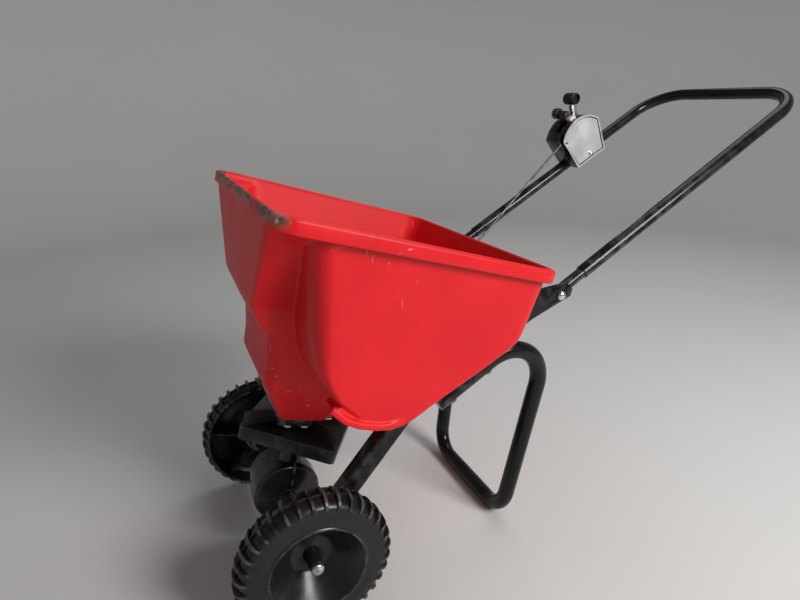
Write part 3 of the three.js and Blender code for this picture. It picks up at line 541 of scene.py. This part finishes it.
# Each form has pairs of (height, y) for its front and rear faces, and of (height, half width) there.
BULGE = {
    "front": [(190, 34), (199, 19), (208, 4), (219, -16), (231, -36), (248, -52), (266, -64), (310, -80),
              (416, -113), (437, -116)],
    "rear": [(190, 58), (199, 73), (208, 84), (216, 93), (247, 126), (282, 164), (322, 204), (332, 210),
             (345, 212), (437, 213)],
    "half_front": [(190, 166), (199, 173), (208, 175), (247, 180), (327, 191), (437, 212)],
    "half_rear": [(190, 166), (199, 173), (208, 175), (247, 178), (327, 186), (437, 199)],
}
NOSE = {
    "front": [(152, -58), (158, -62), (201, -90), (231, -92), (300, -107), (380, -120), (437, -128)],
    "rear": [(152, 6), (158, 12), (201, 36), (231, 60), (437, 60)],
    "half_front": [(152, 75), (158, 80), (201, 90), (231, 92), (300, 95), (437, 106)],
    "half_rear": [(152, 75), (158, 80), (201, 90), (231, 92), (300, 95), (437, 106)],
}
PANEL = {
    "front": [(276, -109), (310, -133), (415, -154), (437, -155)],
    "rear": [(276, -60), (437, -60)],
    "half_front": [(276, 96), (310, 103), (415, 180), (437, 200)],
    "half_rear": [(276, 96), (310, 103), (415, 180), (437, 200)],
}
SHOULDER = {
    "front": [(372, -112), (424, -149), (437, -150)],
    "rear": [(372, -70), (437, -60)],
    "half_front": [(372, 100), (400, 165), (424, 211), (437, 214)],
    "half_rear": [(372, 100), (400, 160), (424, 206), (437, 210)],
}
# Each form of the hopper: its table, its lowest level, its corner share and its height steps.
FORMS = (
    (BULGE, 190, 0.16, 5), (NOSE, SUMP_BOTTOM, 0.20, 6), (PANEL, 276, 0.08, 6), (SHOULDER, 372, 0.12, 6),
)
# Points (x, y, z) along the middle of a ledge.
LEDGE = (
    (168, -31, 217), (173, -12, 206), (174, 8, 201), (174, 30, 199.5), (174, 46, 201), (172, 61, 207),
    (164, 77, 222),
)
LEDGE_BEND = 16
# The chin, drawn in (y, z), fills the space between the ledge's front end and the bulge.
CHIN = ((-30, 216), (-12, 205), (8, 200), (30, 198), (40, 204), (20, 216), (-14, 226))
CHIN_X = (140, 172)
LEDGE_SECTION = (11.5, 9.5, 2.4)  # width, height, corner
DROP_HOLES = (-34, 34)
DROP_HOLE_Y = -29
DROP_HOLE_SIZE = (20, 22, 3)  # width, depth, corner
SHELL_MOULD = (1.7, 5)  # voxel size in millimetres, smoothing passes
ROOM_MOULD = (2.4, 7)


def between(table, z):
    """A table's value at a height, held level beyond its ends."""
    if z <= table[0][0]:
        return table[0][1]
    for (z0, v0), (z1, v1) in zip(table, table[1:]):
        if z <= z1:
            return v0 + (v1 - v0) * (z - z0) / (z1 - z0)
    return table[-1][1]


def eased(table, z, reach=5):
    """The table's value averaged over a short height, which turns its corners into curves."""
    return (between(table, z - reach) + 2 * between(table, z) + between(table, z + reach)) / 4


def stack(name, form, levels, corner, steps=8):
    """Stacked round-cornered outlines. A level is (height drawn at, height read at, inset)."""
    outline = rounded(2, 2, corner, steps)
    points = []
    for z, read, inset in levels:
        front = eased(form["front"], read) + inset
        rear = eased(form["rear"], read) - inset
        half_front = eased(form["half_front"], read) - inset
        half_rear = eased(form["half_rear"], read) - inset
        for u, v in outline:
            share = (v + 1) / 2
            half = half_front + (half_rear - half_front) * share
            points.append((u * half, front + (rear - front) * share, z))
    count = len(outline)
    faces = grid_faces(len(levels), count, False)
    faces.append(tuple(range(count)))
    faces.append(tuple(range((len(levels) - 1) * count, len(levels) * count)))
    return mesh_piece(name, points, faces)


def form_solid(name, form, bottom, corner, step, inset):
    """One form of the hopper, or with an inset the room inside it, which opens at the top."""
    floor = bottom + inset
    top = RIM["top"] + (9 if inset else -3)
    count = math.ceil((top - floor) / step)
    heights = [floor + (top - floor) * k / count for k in range(count + 1)]
    levels = [(z, z, inset) for z in heights]
    return stack(name, form, levels, corner)


def line_point(x, y):
    run = (y - HANDLE_LOW.x) / HANDLE_LINE.x
    return Vector((x, y, HANDLE_LOW.y + run * HANDLE_LINE.y))


def rail_path(x, end_y=RAIL_END_Y):
    return bent_path([(x, *RAIL_FOOT), (x, *RAIL_KNEE), line_point(x, end_y)], RAIL_BEND)


def rail_channels(clear):
    """The moulded channels that the rails and the tubes beside them lie in."""
    inner = RAIL_X - RAIL_SIZE / 2 - clear
    outer = HANDLE_X + HANDLE_INNER + clear
    half, tall = (outer - inner) / 2, RAIL_SIZE / 2 + clear
    section = [(half, tall), (-half, tall), (-half, -tall), (half, -tall)]
    return [
        sweep("channel", rail_path(side * (inner + outer) / 2, CHANNEL_END_Y), section)
        for side in (-1, 1)
    ]


def rim_cap():
    """The turned-down rim: a round-edged band, open underneath."""
    outline = {
        "front": [(0, RIM["front"])], "rear": [(0, RIM["rear"])],
        "half_front": [(0, RIM["half_front"])], "half_rear": [(0, RIM["half_rear"])],
    }
    top, bottom, skin = RIM["top"], RIM["bottom"], RIM["skin"]
    outside = [
        (bottom, 1.2), (bottom + 0.4, 0.4), (bottom + 1.2, 0), (top - 4, 0), (top - 2.6, 0.3),
        (top - 1.2, 1.2), (top - 0.3, 2.6), (top, 4.2),
    ]
    band = stack("rim", outline, [(z, 0, inset) for z, inset in outside], 0.15, 14)
    under = stack("rim_room", outline, [(bottom - 1, 0, skin), (top - skin, 0, skin)], 0.14, 14)
    mouth_outline = {
        "front": [(0, PANEL["front"][-1][1] + WALL)],
        "rear": [(0, BULGE["rear"][-1][1] - WALL)],
        "half_front": [(0, BULGE["half_front"][-1][1] - WALL)],
        "half_rear": [(0, BULGE["half_rear"][-1][1] - WALL)],
    }
    flare = [(top - 3.2, 0), (top - 2.0, -0.35), (top - 0.9, -1.3), (top - 0.2, -2.6), (top + 1, -3.6)]
    opening = stack("mouth", mouth_outline, [(z, 0, inset) for z, inset in flare], 0.12, 14)
    return cut(band, under), opening


def hopper():
    outer = [form_solid("outer", form, bottom, corner, step, 0) for form, bottom, corner, step in FORMS]
    for side in (-1, 1):
        path = [(side * x, y, z) for x, y, z in LEDGE]
        outer.append(sweep("ledge", bent_path(path, LEDGE_BEND), rounded(*LEDGE_SECTION, 3)))
        outer.append(prism("chin", CHIN, *sorted(side * x for x in CHIN_X), "X"))
    body = add(outer[0], *outer[1:])
    body = moulded(cut(body, *rail_channels(CHANNEL_CLEAR)), *SHELL_MOULD)
    inner = [form_solid("inner", form, bottom, corner, step, WALL) for form, bottom, corner, step in FORMS]
    room = add(inner[0], *inner[1:])
    room = moulded(cut(room, *rail_channels(CHANNEL_CLEAR + WALL)), *ROOM_MOULD)
    band, opening = rim_cap()
    body = cut(add(body, band), room)
    body = cut(body, opening)
    low, high = SUMP_BOTTOM - 5, SUMP_BOTTOM + 9
    radius = SHAFT_RADIUS + SHAFT_CLEAR
    holes = [lathe("hole", [(0, low), (radius, low), (radius, high), (0, high)], 32, "Z")]
    for x in DROP_HOLES:
        holes.append(prism("hole", rounded(*DROP_HOLE_SIZE, centre=(x, DROP_HOLE_Y)), low, high))
    body = cut(body, *holes)
    body.name = "hopper_shell"
    return settle(body, ["hopper"], RED)


hopper()

# ---------------------------------------------------------------- wheels

TREAD = (
    # across the wheel, radius, and how far a lug lifts the surface across and outwards
    (18.9, 88.0, 0.0, 0.0), (18.2, 90.5, 1.7, 0.5), (17.1, 92.6, 2.6, 1.4), (15.4, 94.6, 2.6, 2.8),
    (13.0, 96.3, 1.9, 4.2), (10.2, 97.6, 0.9, 5.2), (6.5, 98.5, 0.2, 5.2), (3.0, 98.9, 0.0, 5.0),
    (1.1, 99.0, 0.0, 5.0), (0.6, 101.6, 0.0, 2.4), (0.0, 101.9, 0.0, 2.1),
)
# Distance from the middle of a lug round the wheel, and the share of the lift there.
LUG_FLANK = (
    (-3.0, 0.0), (-2.7, 0.12), (-2.15, 0.90), (-1.75, 1.0),
    (1.75, 1.0), (2.15, 0.90), (2.7, 0.12), (3.0, 0.0),
)
VALLEY_STEPS = 4
DISH = (
    (6.3, 12.5), (8.2, 12.5), (8.9, 12.1), (9.2, 11.2), (9.6, 0.0), (10.4, -13.6), (11.4, -16.2),
    (13.4, -17.1), (26.0, -17.1), (27.6, -16.6), (30.0, -14.6), (36.0, -8.6), (44.0, 0.2),
    (52.0, 9.4), (58.0, 16.2),
    (60.6, 18.9), (61.8, 20.6), (63.2, 21.5), (64.6, 21.2), (65.6, 20.1), (66.6, 19.6), (70.0, 19.6),
    (78.0, 19.7), (84.0, 19.5),
)
BACK = (
    (95.5, -21.5), (93.6, -21.2), (92.6, -19.6), (93.4, -10), (93.8, 4), (92.0, 11), (87.0, 15.2),
    (76.0, 16.0), (66.0, 15.8), (58.0, 11.6), (46.0, -1.8), (34.0, -15.2), (31.0, -19.6), (29.0, -20.5),
    (6.3, -20.5), (6.3, 12.5),
)
WHEEL_RIBS = 6
RIB_OUTLINE = (
    (29, -19.4), (93.2, -12), (93.2, 10.6), (86, 14.6), (66, 15.4), (57, 10.4), (44, -4.6), (33, -17),
)
RIB_HALF_WIDTH = 1.3
RIB_START = 0.25  # share of the angle between two ribs
# The inner side repeats the outer side's tread down to this radius, and then turns in.
INNER_TREAD_FROM = 93
INNER_EDGE = ((97.0, -19.4, -1.6, 1.2), (96.2, -20.9, -0.6, 0.2))


def lug_columns():
    """Angles round the wheel, each with how much of the lug's lift it has."""
    pitch = math.tau / LUGS
    columns = []
    for lug in range(LUGS):
        for offset, lift in LUG_FLANK:
            columns.append((lug * pitch + offset / WHEEL_RADIUS, lift))
        start = LUG_FLANK[-1][0] / WHEEL_RADIUS
        gap = pitch - 2 * start
        for k in range(1, VALLEY_STEPS):
            columns.append((lug * pitch + start + gap * k / VALLEY_STEPS, 0))
    return columns


def wheel(side, material):
    section = [(r, x, 0, 0) for r, x in DISH]
    section += [(r, x, lift_x, lift_r) for x, r, lift_x, lift_r in TREAD]
    inner_tread = [point for point in reversed(TREAD[:-1]) if point[1] > INNER_TREAD_FROM]
    section += [(r, -x, -lift_x, lift_r) for x, r, lift_x, lift_r in inner_tread]
    section += INNER_EDGE
    section += [(r, x, 0, 0) for r, x in BACK[:-1]]
    columns = lug_columns()
    points = []
    for r, x, lift_x, lift_r in section:
        for angle, lift in columns:
            reach = r + lift * lift_r
            points.append((x + lift * lift_x, reach * math.cos(angle), reach * math.sin(angle)))
    body = mesh_piece("wheel", points, grid_faces(len(section), len(columns), True))
    body = add(body, *[wheel_rib(math.tau * (k + RIB_START) / WHEEL_RIBS) for k in range(WHEEL_RIBS)])
    label = "left" if side > 0 else "right"
    body.name = f"wheel_{label}_moulding"
    if side < 0:
        body.data.transform(Matrix.Rotation(math.pi, 4, "Z"))
    plane = centre_of(f"wheel_{label}") - AXLE
    return settle(body, [f"wheel_{label}"], material, Matrix.Translation(plane) @ ROLL)


def wheel_rib(angle):
    """A web behind the dish, drawn as (across the wheel, radius) and turned to its place."""
    outline = [(x, r) for r, x in RIB_OUTLINE]
    rib = prism("rib", outline, -RIB_HALF_WIDTH, RIB_HALF_WIDTH)
    rib.data.transform(Matrix.Rotation(angle, 4, "X"))
    return rib


for label, side in SIDES:
    wheel(side, TYRE if side > 0 else STAINED_TYRE)
    cap_low, cap_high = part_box(f"axle_nut_{label}")
    cap_end = (cap_high.x if side > 0 else -cap_low.x) / MM
    cap = lathe("cap", [
        (0, cap_end), (2.6, cap_end), (3.4, cap_end - 0.5), (3.5, cap_end - 1.4), (5.6, cap_end - 1.9),
        (8.0, cap_end - 3.4), (8.8, cap_end - 5.0), (8.9, cap_end - 7.6), (6.3, cap_end - 7.6),
        (6.3, cap_end - 3.6), (0, cap_end - 3.6),
    ], 40)
    if side < 0:
        cap.data.transform(Matrix.Rotation(math.pi, 4, "Z"))
    cap.name = f"axle_cap_{label}"
    settle(cap, [f"axle_nut_{label}"], ZINC, ROLL)

# ---------------------------------------------------------------- frame, handle and stand


def side_rail(label, side):
    x = side * RAIL_X
    rail = sweep("rail", rail_path(x), rounded(RAIL_SIZE, RAIL_SIZE, RAIL_CORNER, 4))
    tube_end = HANDLE_LOW.x + (SLEEVE_START + SLEEVE_OVERLAP) * HANDLE_LINE.x
    tube_ends = [line_point(side * HANDLE_X, y) for y in (LOWER_TUBE_Y, tube_end)]
    tube = sweep("tube", tube_ends, circle(HANDLE_INNER))
    rail = add(rail, tube)
    bore = [(0, x - 20), (RAIL_BORE, x - 20), (RAIL_BORE, x + 20), (0, x + 20)]
    rail = cut(rail, lathe("bore", bore, 32))
    rail.name = f"side_rail_{label}_tube"
    settle(rail, [f"side_rail_{label}"], PAINT)


def handle():
    start = HANDLE_LOW.x + SLEEVE_START * HANDLE_LINE.x
    corners = [
        line_point(-HANDLE_X, start), (-HANDLE_X, *HANDLE_CORNER),
        (HANDLE_X, *HANDLE_CORNER), line_point(HANDLE_X, start),
    ]
    tube = sweep("handle_tube", bent_path(corners, HANDLE_BEND), circle(HANDLE_RADIUS))
    sockets = []
    for side in (-1, 1):
        ends = [line_point(side * HANDLE_X, y) for y in (start - 5, start + SLEEVE_DEPTH * HANDLE_LINE.x)]
        sockets.append(sweep("socket", ends, circle(HANDLE_INNER + GAP)))
    settle(cut(tube, *sockets), ["handle"], PAINT)


def stand():
    right = [Vector(corner) for corner in STAND_CORNERS]
    left = [Vector((-corner.x, corner.y, corner.z)) for corner in reversed(right)]
    upper = bent_path(right, STAND_BEND)
    foot = bent_path([right[1], right[2], left[0], left[1]], STAND_FOOT_BEND)
    mirrored = [Vector((-point.x, point.y, point.z)) for point in reversed(upper)]
    path = upper[:-1] + foot[1:-1] + mirrored[1:]
    settle(sweep("stand_tube", path, circle(STAND_RADIUS)), ["stand"], PAINT)


for label, side in SIDES:
    side_rail(label, side)
handle()
stand()

# ---------------------------------------------------------------- fasteners


def dome_bolt(node, side, shank, head):
    """A dome-headed bolt along X, at its CAD node."""
    low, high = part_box(node)
    end = high.x if side > 0 else -low.x
    length = (high.x - low.x) / MM
    bolt = lathe(node + "_dome", [
        (0, 0), (head * 0.30, -0.15), (head * 0.55, -0.75), (head * 0.76, -1.7), (head * 0.92, -3.0),
        (head, -4.0), (head, -4.5), (head * 0.95, -4.8), (shank, -4.8), (shank, -length), (0, -length),
    ], 36)
    place = Matrix.Translation(((end if side > 0 else -end), (low.y + high.y) / 2, (low.z + high.z) / 2))
    turn = Matrix.Rotation(0 if side > 0 else math.pi, 4, "Z")
    return settle(bolt, [node], ZINC, place @ turn @ Matrix.Scale(MM, 4))


def stand_bolt(label, side, end, y):
    down = Vector((0, HANDLE_LINE.y, -HANDLE_LINE.x))
    under = line_point(side * RAIL_X, y) + down * (STAND_DROP + STAND_RADIUS + GAP)
    under.x = side * STAND_CORNERS[0][0]
    head = lathe("head", [(0, 0), (6, 0), (6, 1.4), (5.4, 2.8), (4.2, 4.0), (2.4, 4.9), (0, 5.2)], 32, "Z")
    turn = Vector((0, 0, 1)).rotation_difference(down).to_matrix().to_4x4()
    head.data.transform(Matrix.Translation(under) @ turn)
    head.name = f"stand_bolt_{end}_{label}_head"
    settle(head, [f"stand_bolt_{end}_{label}"], ZINC)


STAND_BOLTS = (("front", 132), ("rear", 176))
for label, side in SIDES:
    dome_bolt(f"bracket_bolt_{label}", side, shank=3, head=7)
    for end, y in STAND_BOLTS:
        stand_bolt(label, side, end, y)

# ---------------------------------------------------------------- gearbox and spinner

NEAR_DRUM = ((0, -14), (47, -14), (50, -10), (50, 19), (46, 24), (24, 28), (14, 30), (0, 30))
FAR_DRUM = ((0, -58), (14, -58), (36, -56), (43, -51), (45, -44), (45, -13), (0, -13))
NECK = ((0, 10), (18, 10), (18, 70), (15, 76), (13, 88), (0, 88))
AXLE_BOSS = ((0, -66), (11, -66), (11, 38), (0, 38))
RING_ROOM = ((0, -10.5), (46, -10.5), (46, 18), (42, 21), (20, 24), (0, 24))
BUSH_ROOM = ((0, -54), (36, -52), (41, -44), (41, -9), (0, -9))
AXLE_BORE = 6.5
SHAFT_BORE = 5.5
SEAM = 2.0
FLANGE_RISE = 1.6
GEARBOX_MOULD = (1.1, 5)


def grown(profile, by):
    """The same drum, larger all over."""
    middle = (profile[0][1] + profile[-1][1]) / 2
    return [(r + by if r else 0, z + math.copysign(by, z - middle)) for r, z in profile]


def housing(by=0.0):
    parts = [lathe("drum", grown(profile, by), 72) for profile in (NEAR_DRUM, FAR_DRUM)]
    parts.append(lathe("neck", grown(NECK, by), 48, "Z"))
    parts.append(lathe("boss", grown(AXLE_BOSS, by), 40))
    return add(parts[0], *parts[1:])


def gearbox():
    body = moulded(housing(), *GEARBOX_MOULD)
    flange = keep(housing(FLANGE_RISE), block("slab", (300, SEAM * 2, 300)))
    body = add(body, flange)
    tools = [
        lathe("axle_bore", [(0, -80), (AXLE_BORE, -80), (AXLE_BORE, 60), (0, 60)], 32),
        lathe("shaft_bore", [(0, 0), (SHAFT_BORE, 0), (SHAFT_BORE, 100), (0, 100)], 32, "Z"),
        lathe("ring_room", RING_ROOM, 48),
        lathe("bush_room", BUSH_ROOM, 48),
    ]
    body = cut(body, *tools)
    for label, way in (("front", -1), ("rear", 1)):
        half = body.copy()
        half.data = body.data.copy()
        half.name = f"gearbox_{label}_half"
        SCENE.collection.objects.link(half)
        keep(half, block("half_space", (300, 120, 300), (0, way * (60 + GAP / 2), 0)))
        settle(half, [f"gearbox_{label}"], DRUM_BLACK)
    bpy.data.objects.remove(body)


IMPELLER_SIDE = 141
IMPELLER_CORNERS = (7, 5)  # outside, and inside the skirt
IMPELLER_BORE = 5.3
SKIRT_BOTTOM, PLATE_BOTTOM, PLATE_TOP, VANE_TOP = 95, 112.5, 115.5, 136
IMPELLER_TURN = math.radians(15)
IMPELLER_WALL = 3
VANE_HALF_WIDTH = 1.5
HUB = ((0, 91), (12.4, 91), (13, 91.6), (15.4, 112), (15.4, 120), (11.4, 131), (10.6, 132), (0, 132))


def impeller():
    outer, inner = IMPELLER_CORNERS
    body = prism("impeller_plate", rounded(IMPELLER_SIDE, IMPELLER_SIDE, outer, 5), SKIRT_BOTTOM, PLATE_TOP)
    inside = IMPELLER_SIDE - 2 * IMPELLER_WALL
    room = prism("room", rounded(inside, inside, inner, 5), SKIRT_BOTTOM - 1, PLATE_BOTTOM)
    body = cut(body, room)
    reach = IMPELLER_SIDE / math.sqrt(2) - 5
    parts = [lathe("hub", HUB, 48, "Z")]
    for k in range(4):
        fin = prism("fin", [
            (8, PLATE_TOP - 1), (reach, PLATE_TOP - 1), (reach, VANE_TOP), (reach - 30, VANE_TOP),
            (8, PLATE_TOP + 10),
        ], -VANE_HALF_WIDTH, VANE_HALF_WIDTH)
        turn = Matrix.Rotation(math.pi / 4 + math.pi / 2 * k, 4, "Z")
        fin.data.transform(turn @ Matrix.Rotation(math.pi / 2, 4, "X"))
        parts.append(fin)
    body = add(body, *parts)
    bore = [(0, 80), (IMPELLER_BORE, 80), (IMPELLER_BORE, 150), (0, 150)]
    body = cut(body, lathe("bore", bore, 32, "Z"))
    edge_round(body, 0.7)
    body.data.transform(Matrix.Rotation(IMPELLER_TURN - math.pi / 4, 4, "Z"))
    settle(body, ["impeller"], IMPELLER_BLACK)


gearbox()
impeller()

# ---------------------------------------------------------------- controls

KNOB_LOBES = 12
KNOB_WAVE = 1.3


def lever_knob():
    """A round black knob along X, with a recess in the end that faces the operator's left."""
    low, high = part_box("lever_knob")
    half = (high.x - low.x) / 2 / MM
    radius = (high.y - low.y) / 2 / MM
    knob = lathe("lever_knob_round", [
        (0, -half), (radius - 2.2, -half), (radius - 0.9, -half + 0.5), (radius, -half + 1.8),
        (radius, half - 1.6), (radius - 0.5, half - 0.5), (radius - 1.4, half), (radius - 2.6, half - 0.2),
        (radius - 3.1, half - 1.2), (radius - 3.3, half - 4.4), (0, half - 4.4),
    ], 56)
    settle(knob, ["lever_knob"], HOUSING, Matrix.Translation((low + high) / 2) @ Matrix.Scale(MM, 4))


def stop_knob():
    low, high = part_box("rate_stop_knob")
    middle = (low + high) / 2
    radius = (high.y - low.y) / 2 / MM
    half = (high.x - low.x) / 2 / MM
    steps = 144
    outline = []
    for k in range(steps):
        angle = math.tau * k / steps
        reach = radius - KNOB_WAVE + KNOB_WAVE * math.cos(KNOB_LOBES * angle)
        outline.append((reach * math.cos(angle), reach * math.sin(angle)))
    knob = prism("rate_stop_grip", outline, -half, half, "X")
    edge_round(knob, 0.8, angle=50)
    settle(knob, ["rate_stop_knob"], HOUSING, Matrix.Translation(middle) @ Matrix.Scale(MM, 4))


def cover_screw():
    low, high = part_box("cover_screw")
    length = (high.x - low.x) / MM
    screw = lathe("cover_screw_head", [
        (0, 0), (1.6, -0.1), (3.0, -0.7), (4.0, -1.7), (4.2, -2.6), (4.2, -4.8), (2.4, -4.8),
        (2.4, -length), (0, -length),
    ], 36)
    for size in ((3.0, 4.4, 0.9), (3.0, 0.9, 4.4)):
        cut(screw, block("slot", size))
    place = Matrix.Translation((high.x, (low.y + high.y) / 2, (low.z + high.z) / 2))
    settle(screw, ["cover_screw"], ZINC, place @ Matrix.Scale(MM, 4))


PIVOT = (468, 646)
COVER_ARC = (54, 82, 108)
COVER_BORDER = 3.0
COVER_RECESS = 1.5
COVER_GROOVE = (1.7, 3.6)  # width, depth
COVER_TOE = 43  # the lowest point, below the pivot
COVER_HEEL = (47, 7)  # the rear corner, behind the pivot and above it
MITRE = (1.35, 1.3)  # how far those two corners move for each millimetre of inset
EAR = (421.8, 637.2)
EAR_RADIUS = 4.6
EAR_HOLE = (2.1, 3.4)  # radius, depth
SCREW_HOLE = 3.2


def cover_outline(inset):
    """The control box seen along X: three straight edges, and an arc about the lever pivot."""
    y, z = PIVOT
    radius, first, sweep_deg = COVER_ARC
    behind, above = COVER_HEEL
    points = [(y, z - COVER_TOE + inset * MITRE[0]), (y + behind - inset * MITRE[1], z + above)]
    steps = 27
    for k in range(steps + 1):
        angle = math.radians(first + sweep_deg * k / steps)
        points.append((y + (radius - inset) * math.cos(angle), z + (radius - inset) * math.sin(angle)))
    return points


def control_cover():
    """The cover plate, sunk inside a raised border, with a hollow ear at its lower left corner."""
    low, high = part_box("control_cover")
    back, face = low.x / MM, high.x / MM
    cover = prism("cover", cover_outline(0), back, face, "X")
    cover = cut(cover, prism("recess", cover_outline(COVER_BORDER), face - COVER_RECESS, face + 5, "X"))
    groove = prism("groove", cover_outline(COVER_BORDER), face - COVER_GROOVE[1], face + 5, "X")
    island = prism("island", cover_outline(COVER_BORDER + COVER_GROOVE[0]), face - 9, face + 9, "X")
    cover = cut(cover, cut(groove, island))
    ear = lathe("ear", [(0, back), (EAR_RADIUS, back), (EAR_RADIUS, face), (0, face)], 32)
    radius, depth = EAR_HOLE
    floor, top = face - depth, face + 5
    hole = lathe("ear_hole", [(0, floor), (radius, floor), (radius, top), (0, top)], 24)
    for part in (ear, hole):
        part.data.transform(Matrix.Translation((0, *EAR)))
    screw_low, screw_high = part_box("cover_screw")
    middle = PUSH.inverted() @ ((screw_low + screw_high) / 2)
    clear = [(0, back - 9), (SCREW_HOLE, back - 9), (SCREW_HOLE, face + 5), (0, face + 5)]
    screw_hole = lathe("screw_hole", clear, 24)
    screw_hole.data.transform(Matrix.Translation((0, middle.y, middle.z)))
    cover = cut(add(cover, ear), hole, screw_hole)
    edge_round(cover, 0.45, angle=40)
    cover.name = "control_cover_plate"
    settle(cover, ["control_cover"], SILVER)


lever_knob()
stop_knob()
cover_screw()
control_cover()

REFINED = (
    # CAD node, finish, edge width in millimetres, angle that stays sharp
    ("control_base", GLOSS, 0.8, 32), ("lever", ZINC, 0.25, 32),
    ("lever_pin", STEEL, 0.3, 40), ("rate_stop", HOUSING, 0.4, 32), ("rate_pointer", NYLON, 0.4, 32),
    ("control_rod", DARK_STEEL, 0, 55), ("agitator", ZINC, 0, 55), ("gate", STEEL, 0.3, 32),
    ("axle", STEEL, 0.5, 32), ("shaft", STEEL, 0.4, 32), ("pinion", NYLON, 0, 32),
    ("ring_gear", NYLON, 0, 32),
)
for node, material, width, sharp in REFINED:
    refined(node, material, width, sharp)
for label, side in SIDES:
    refined(f"axle_bush_{label}", HOUSING, 0.4)
    refined(f"hopper_bracket_{label}", PAINT, 0.4)
    refined(f"bracket_nut_{label}", ZINC, 0.4)
    refined(f"gate_guide_{label}", HOUSING, 0.6)
    for end in ("front", "rear"):
        refined(f"guide_bolt_{end}_{label}", STEEL, 0.3)

# ---------------------------------------------------------------- studio and camera


def pale_floor():
    """A round pale floor that curves up into a wall all round."""
    finish = Finish("studio_floor", 0.7)
    broad = finish.noise(1.5, 2)
    colour = finish.mix(broad, (0.72, 0.71, 0.70), (0.77, 0.765, 0.755))
    material = finish.done(colour, broad, 0.03, finish.noise(400, 2), 0.02, 0.2)
    radius, bend, height = 3.4, 0.9, 2.6
    profile = [(0.0, 0.0), (radius - bend, 0.0)]
    steps = 12
    for k in range(1, steps + 1):
        angle = math.pi / 2 * k / steps
        profile.append((radius - bend + bend * math.sin(angle), bend - bend * math.cos(angle)))
    profile.append((radius, height))
    segments = 96
    points = []
    for reach, up in profile:
        for k in range(segments):
            angle = math.tau * k / segments
            points.append((reach * math.cos(angle), reach * math.sin(angle), up))
    floor = mesh_piece("studio_floor", points, grid_faces(len(profile), segments, False))
    floor.data.shade_smooth()
    floor.data.materials.append(material)


def soft_light(name, towards, azimuth, elevation, distance, size, power, colour):
    """An area light at an azimuth as the views count it: 0 is the front, 90 the operator's left side."""
    data = bpy.data.lights.new(name, "AREA")
    data.shape = "DISK"
    data.size = size
    data.energy = power
    data.color = colour
    light = bpy.data.objects.new(name, data)
    a, e = math.radians(azimuth), math.radians(elevation)
    back = Vector((math.sin(a) * math.cos(e), -math.cos(a) * math.cos(e), math.sin(e)))
    light.location = towards + back * distance
    light.rotation_euler = back.to_track_quat("Z", "Y").to_euler()
    SCENE.collection.objects.link(light)


def studio():
    pale_floor()
    middle = (CAD_BOX[0] + CAD_BOX[1]) / 2
    soft_light("key", middle, azimuth=110, elevation=30, distance=2.1, size=0.9, power=39,
               colour=(1.0, 0.985, 0.96))
    soft_light("overhead", middle, azimuth=205, elevation=62, distance=2.3, size=1.6, power=11,
               colour=(0.95, 0.97, 1.0))
    world = bpy.data.worlds.new("studio_world")
    world.use_nodes = True
    background = world.node_tree.nodes["Background"]
    background.inputs["Color"].default_value = (0.92, 0.94, 1.0, 1)
    background.inputs["Strength"].default_value = 0.13
    SCENE.world = world
    SCENE.view_settings.view_transform = "Standard"


def camera():
    """The photograph's view: from the front left of the machine, looking down at it."""
    place = Vector((0.7209, -0.5002, 0.6609))
    heading, pitch, roll = math.radians(24.33), math.radians(19.69), math.radians(-0.70)
    ahead = Vector((
        -math.cos(heading) * math.cos(pitch), math.sin(heading) * math.cos(pitch), -math.sin(pitch)))
    level = ahead.cross(Vector((0, 0, 1))).normalized()
    upright = level.cross(ahead)
    right = level * math.cos(roll) + upright * math.sin(roll)
    up = upright * math.cos(roll) - level * math.sin(roll)
    data = bpy.data.cameras.new("photo_view")
    data.sensor_width = 36
    data.lens = 24.68
    data.clip_start = 0.02
    view = bpy.data.objects.new("photo_view", data)
    turn = Matrix((right, up, -ahead)).transposed().to_4x4()
    view.matrix_world = Matrix.Translation(place) @ turn
    SCENE.collection.objects.link(view)
    SCENE.camera = view


studio()
camera()
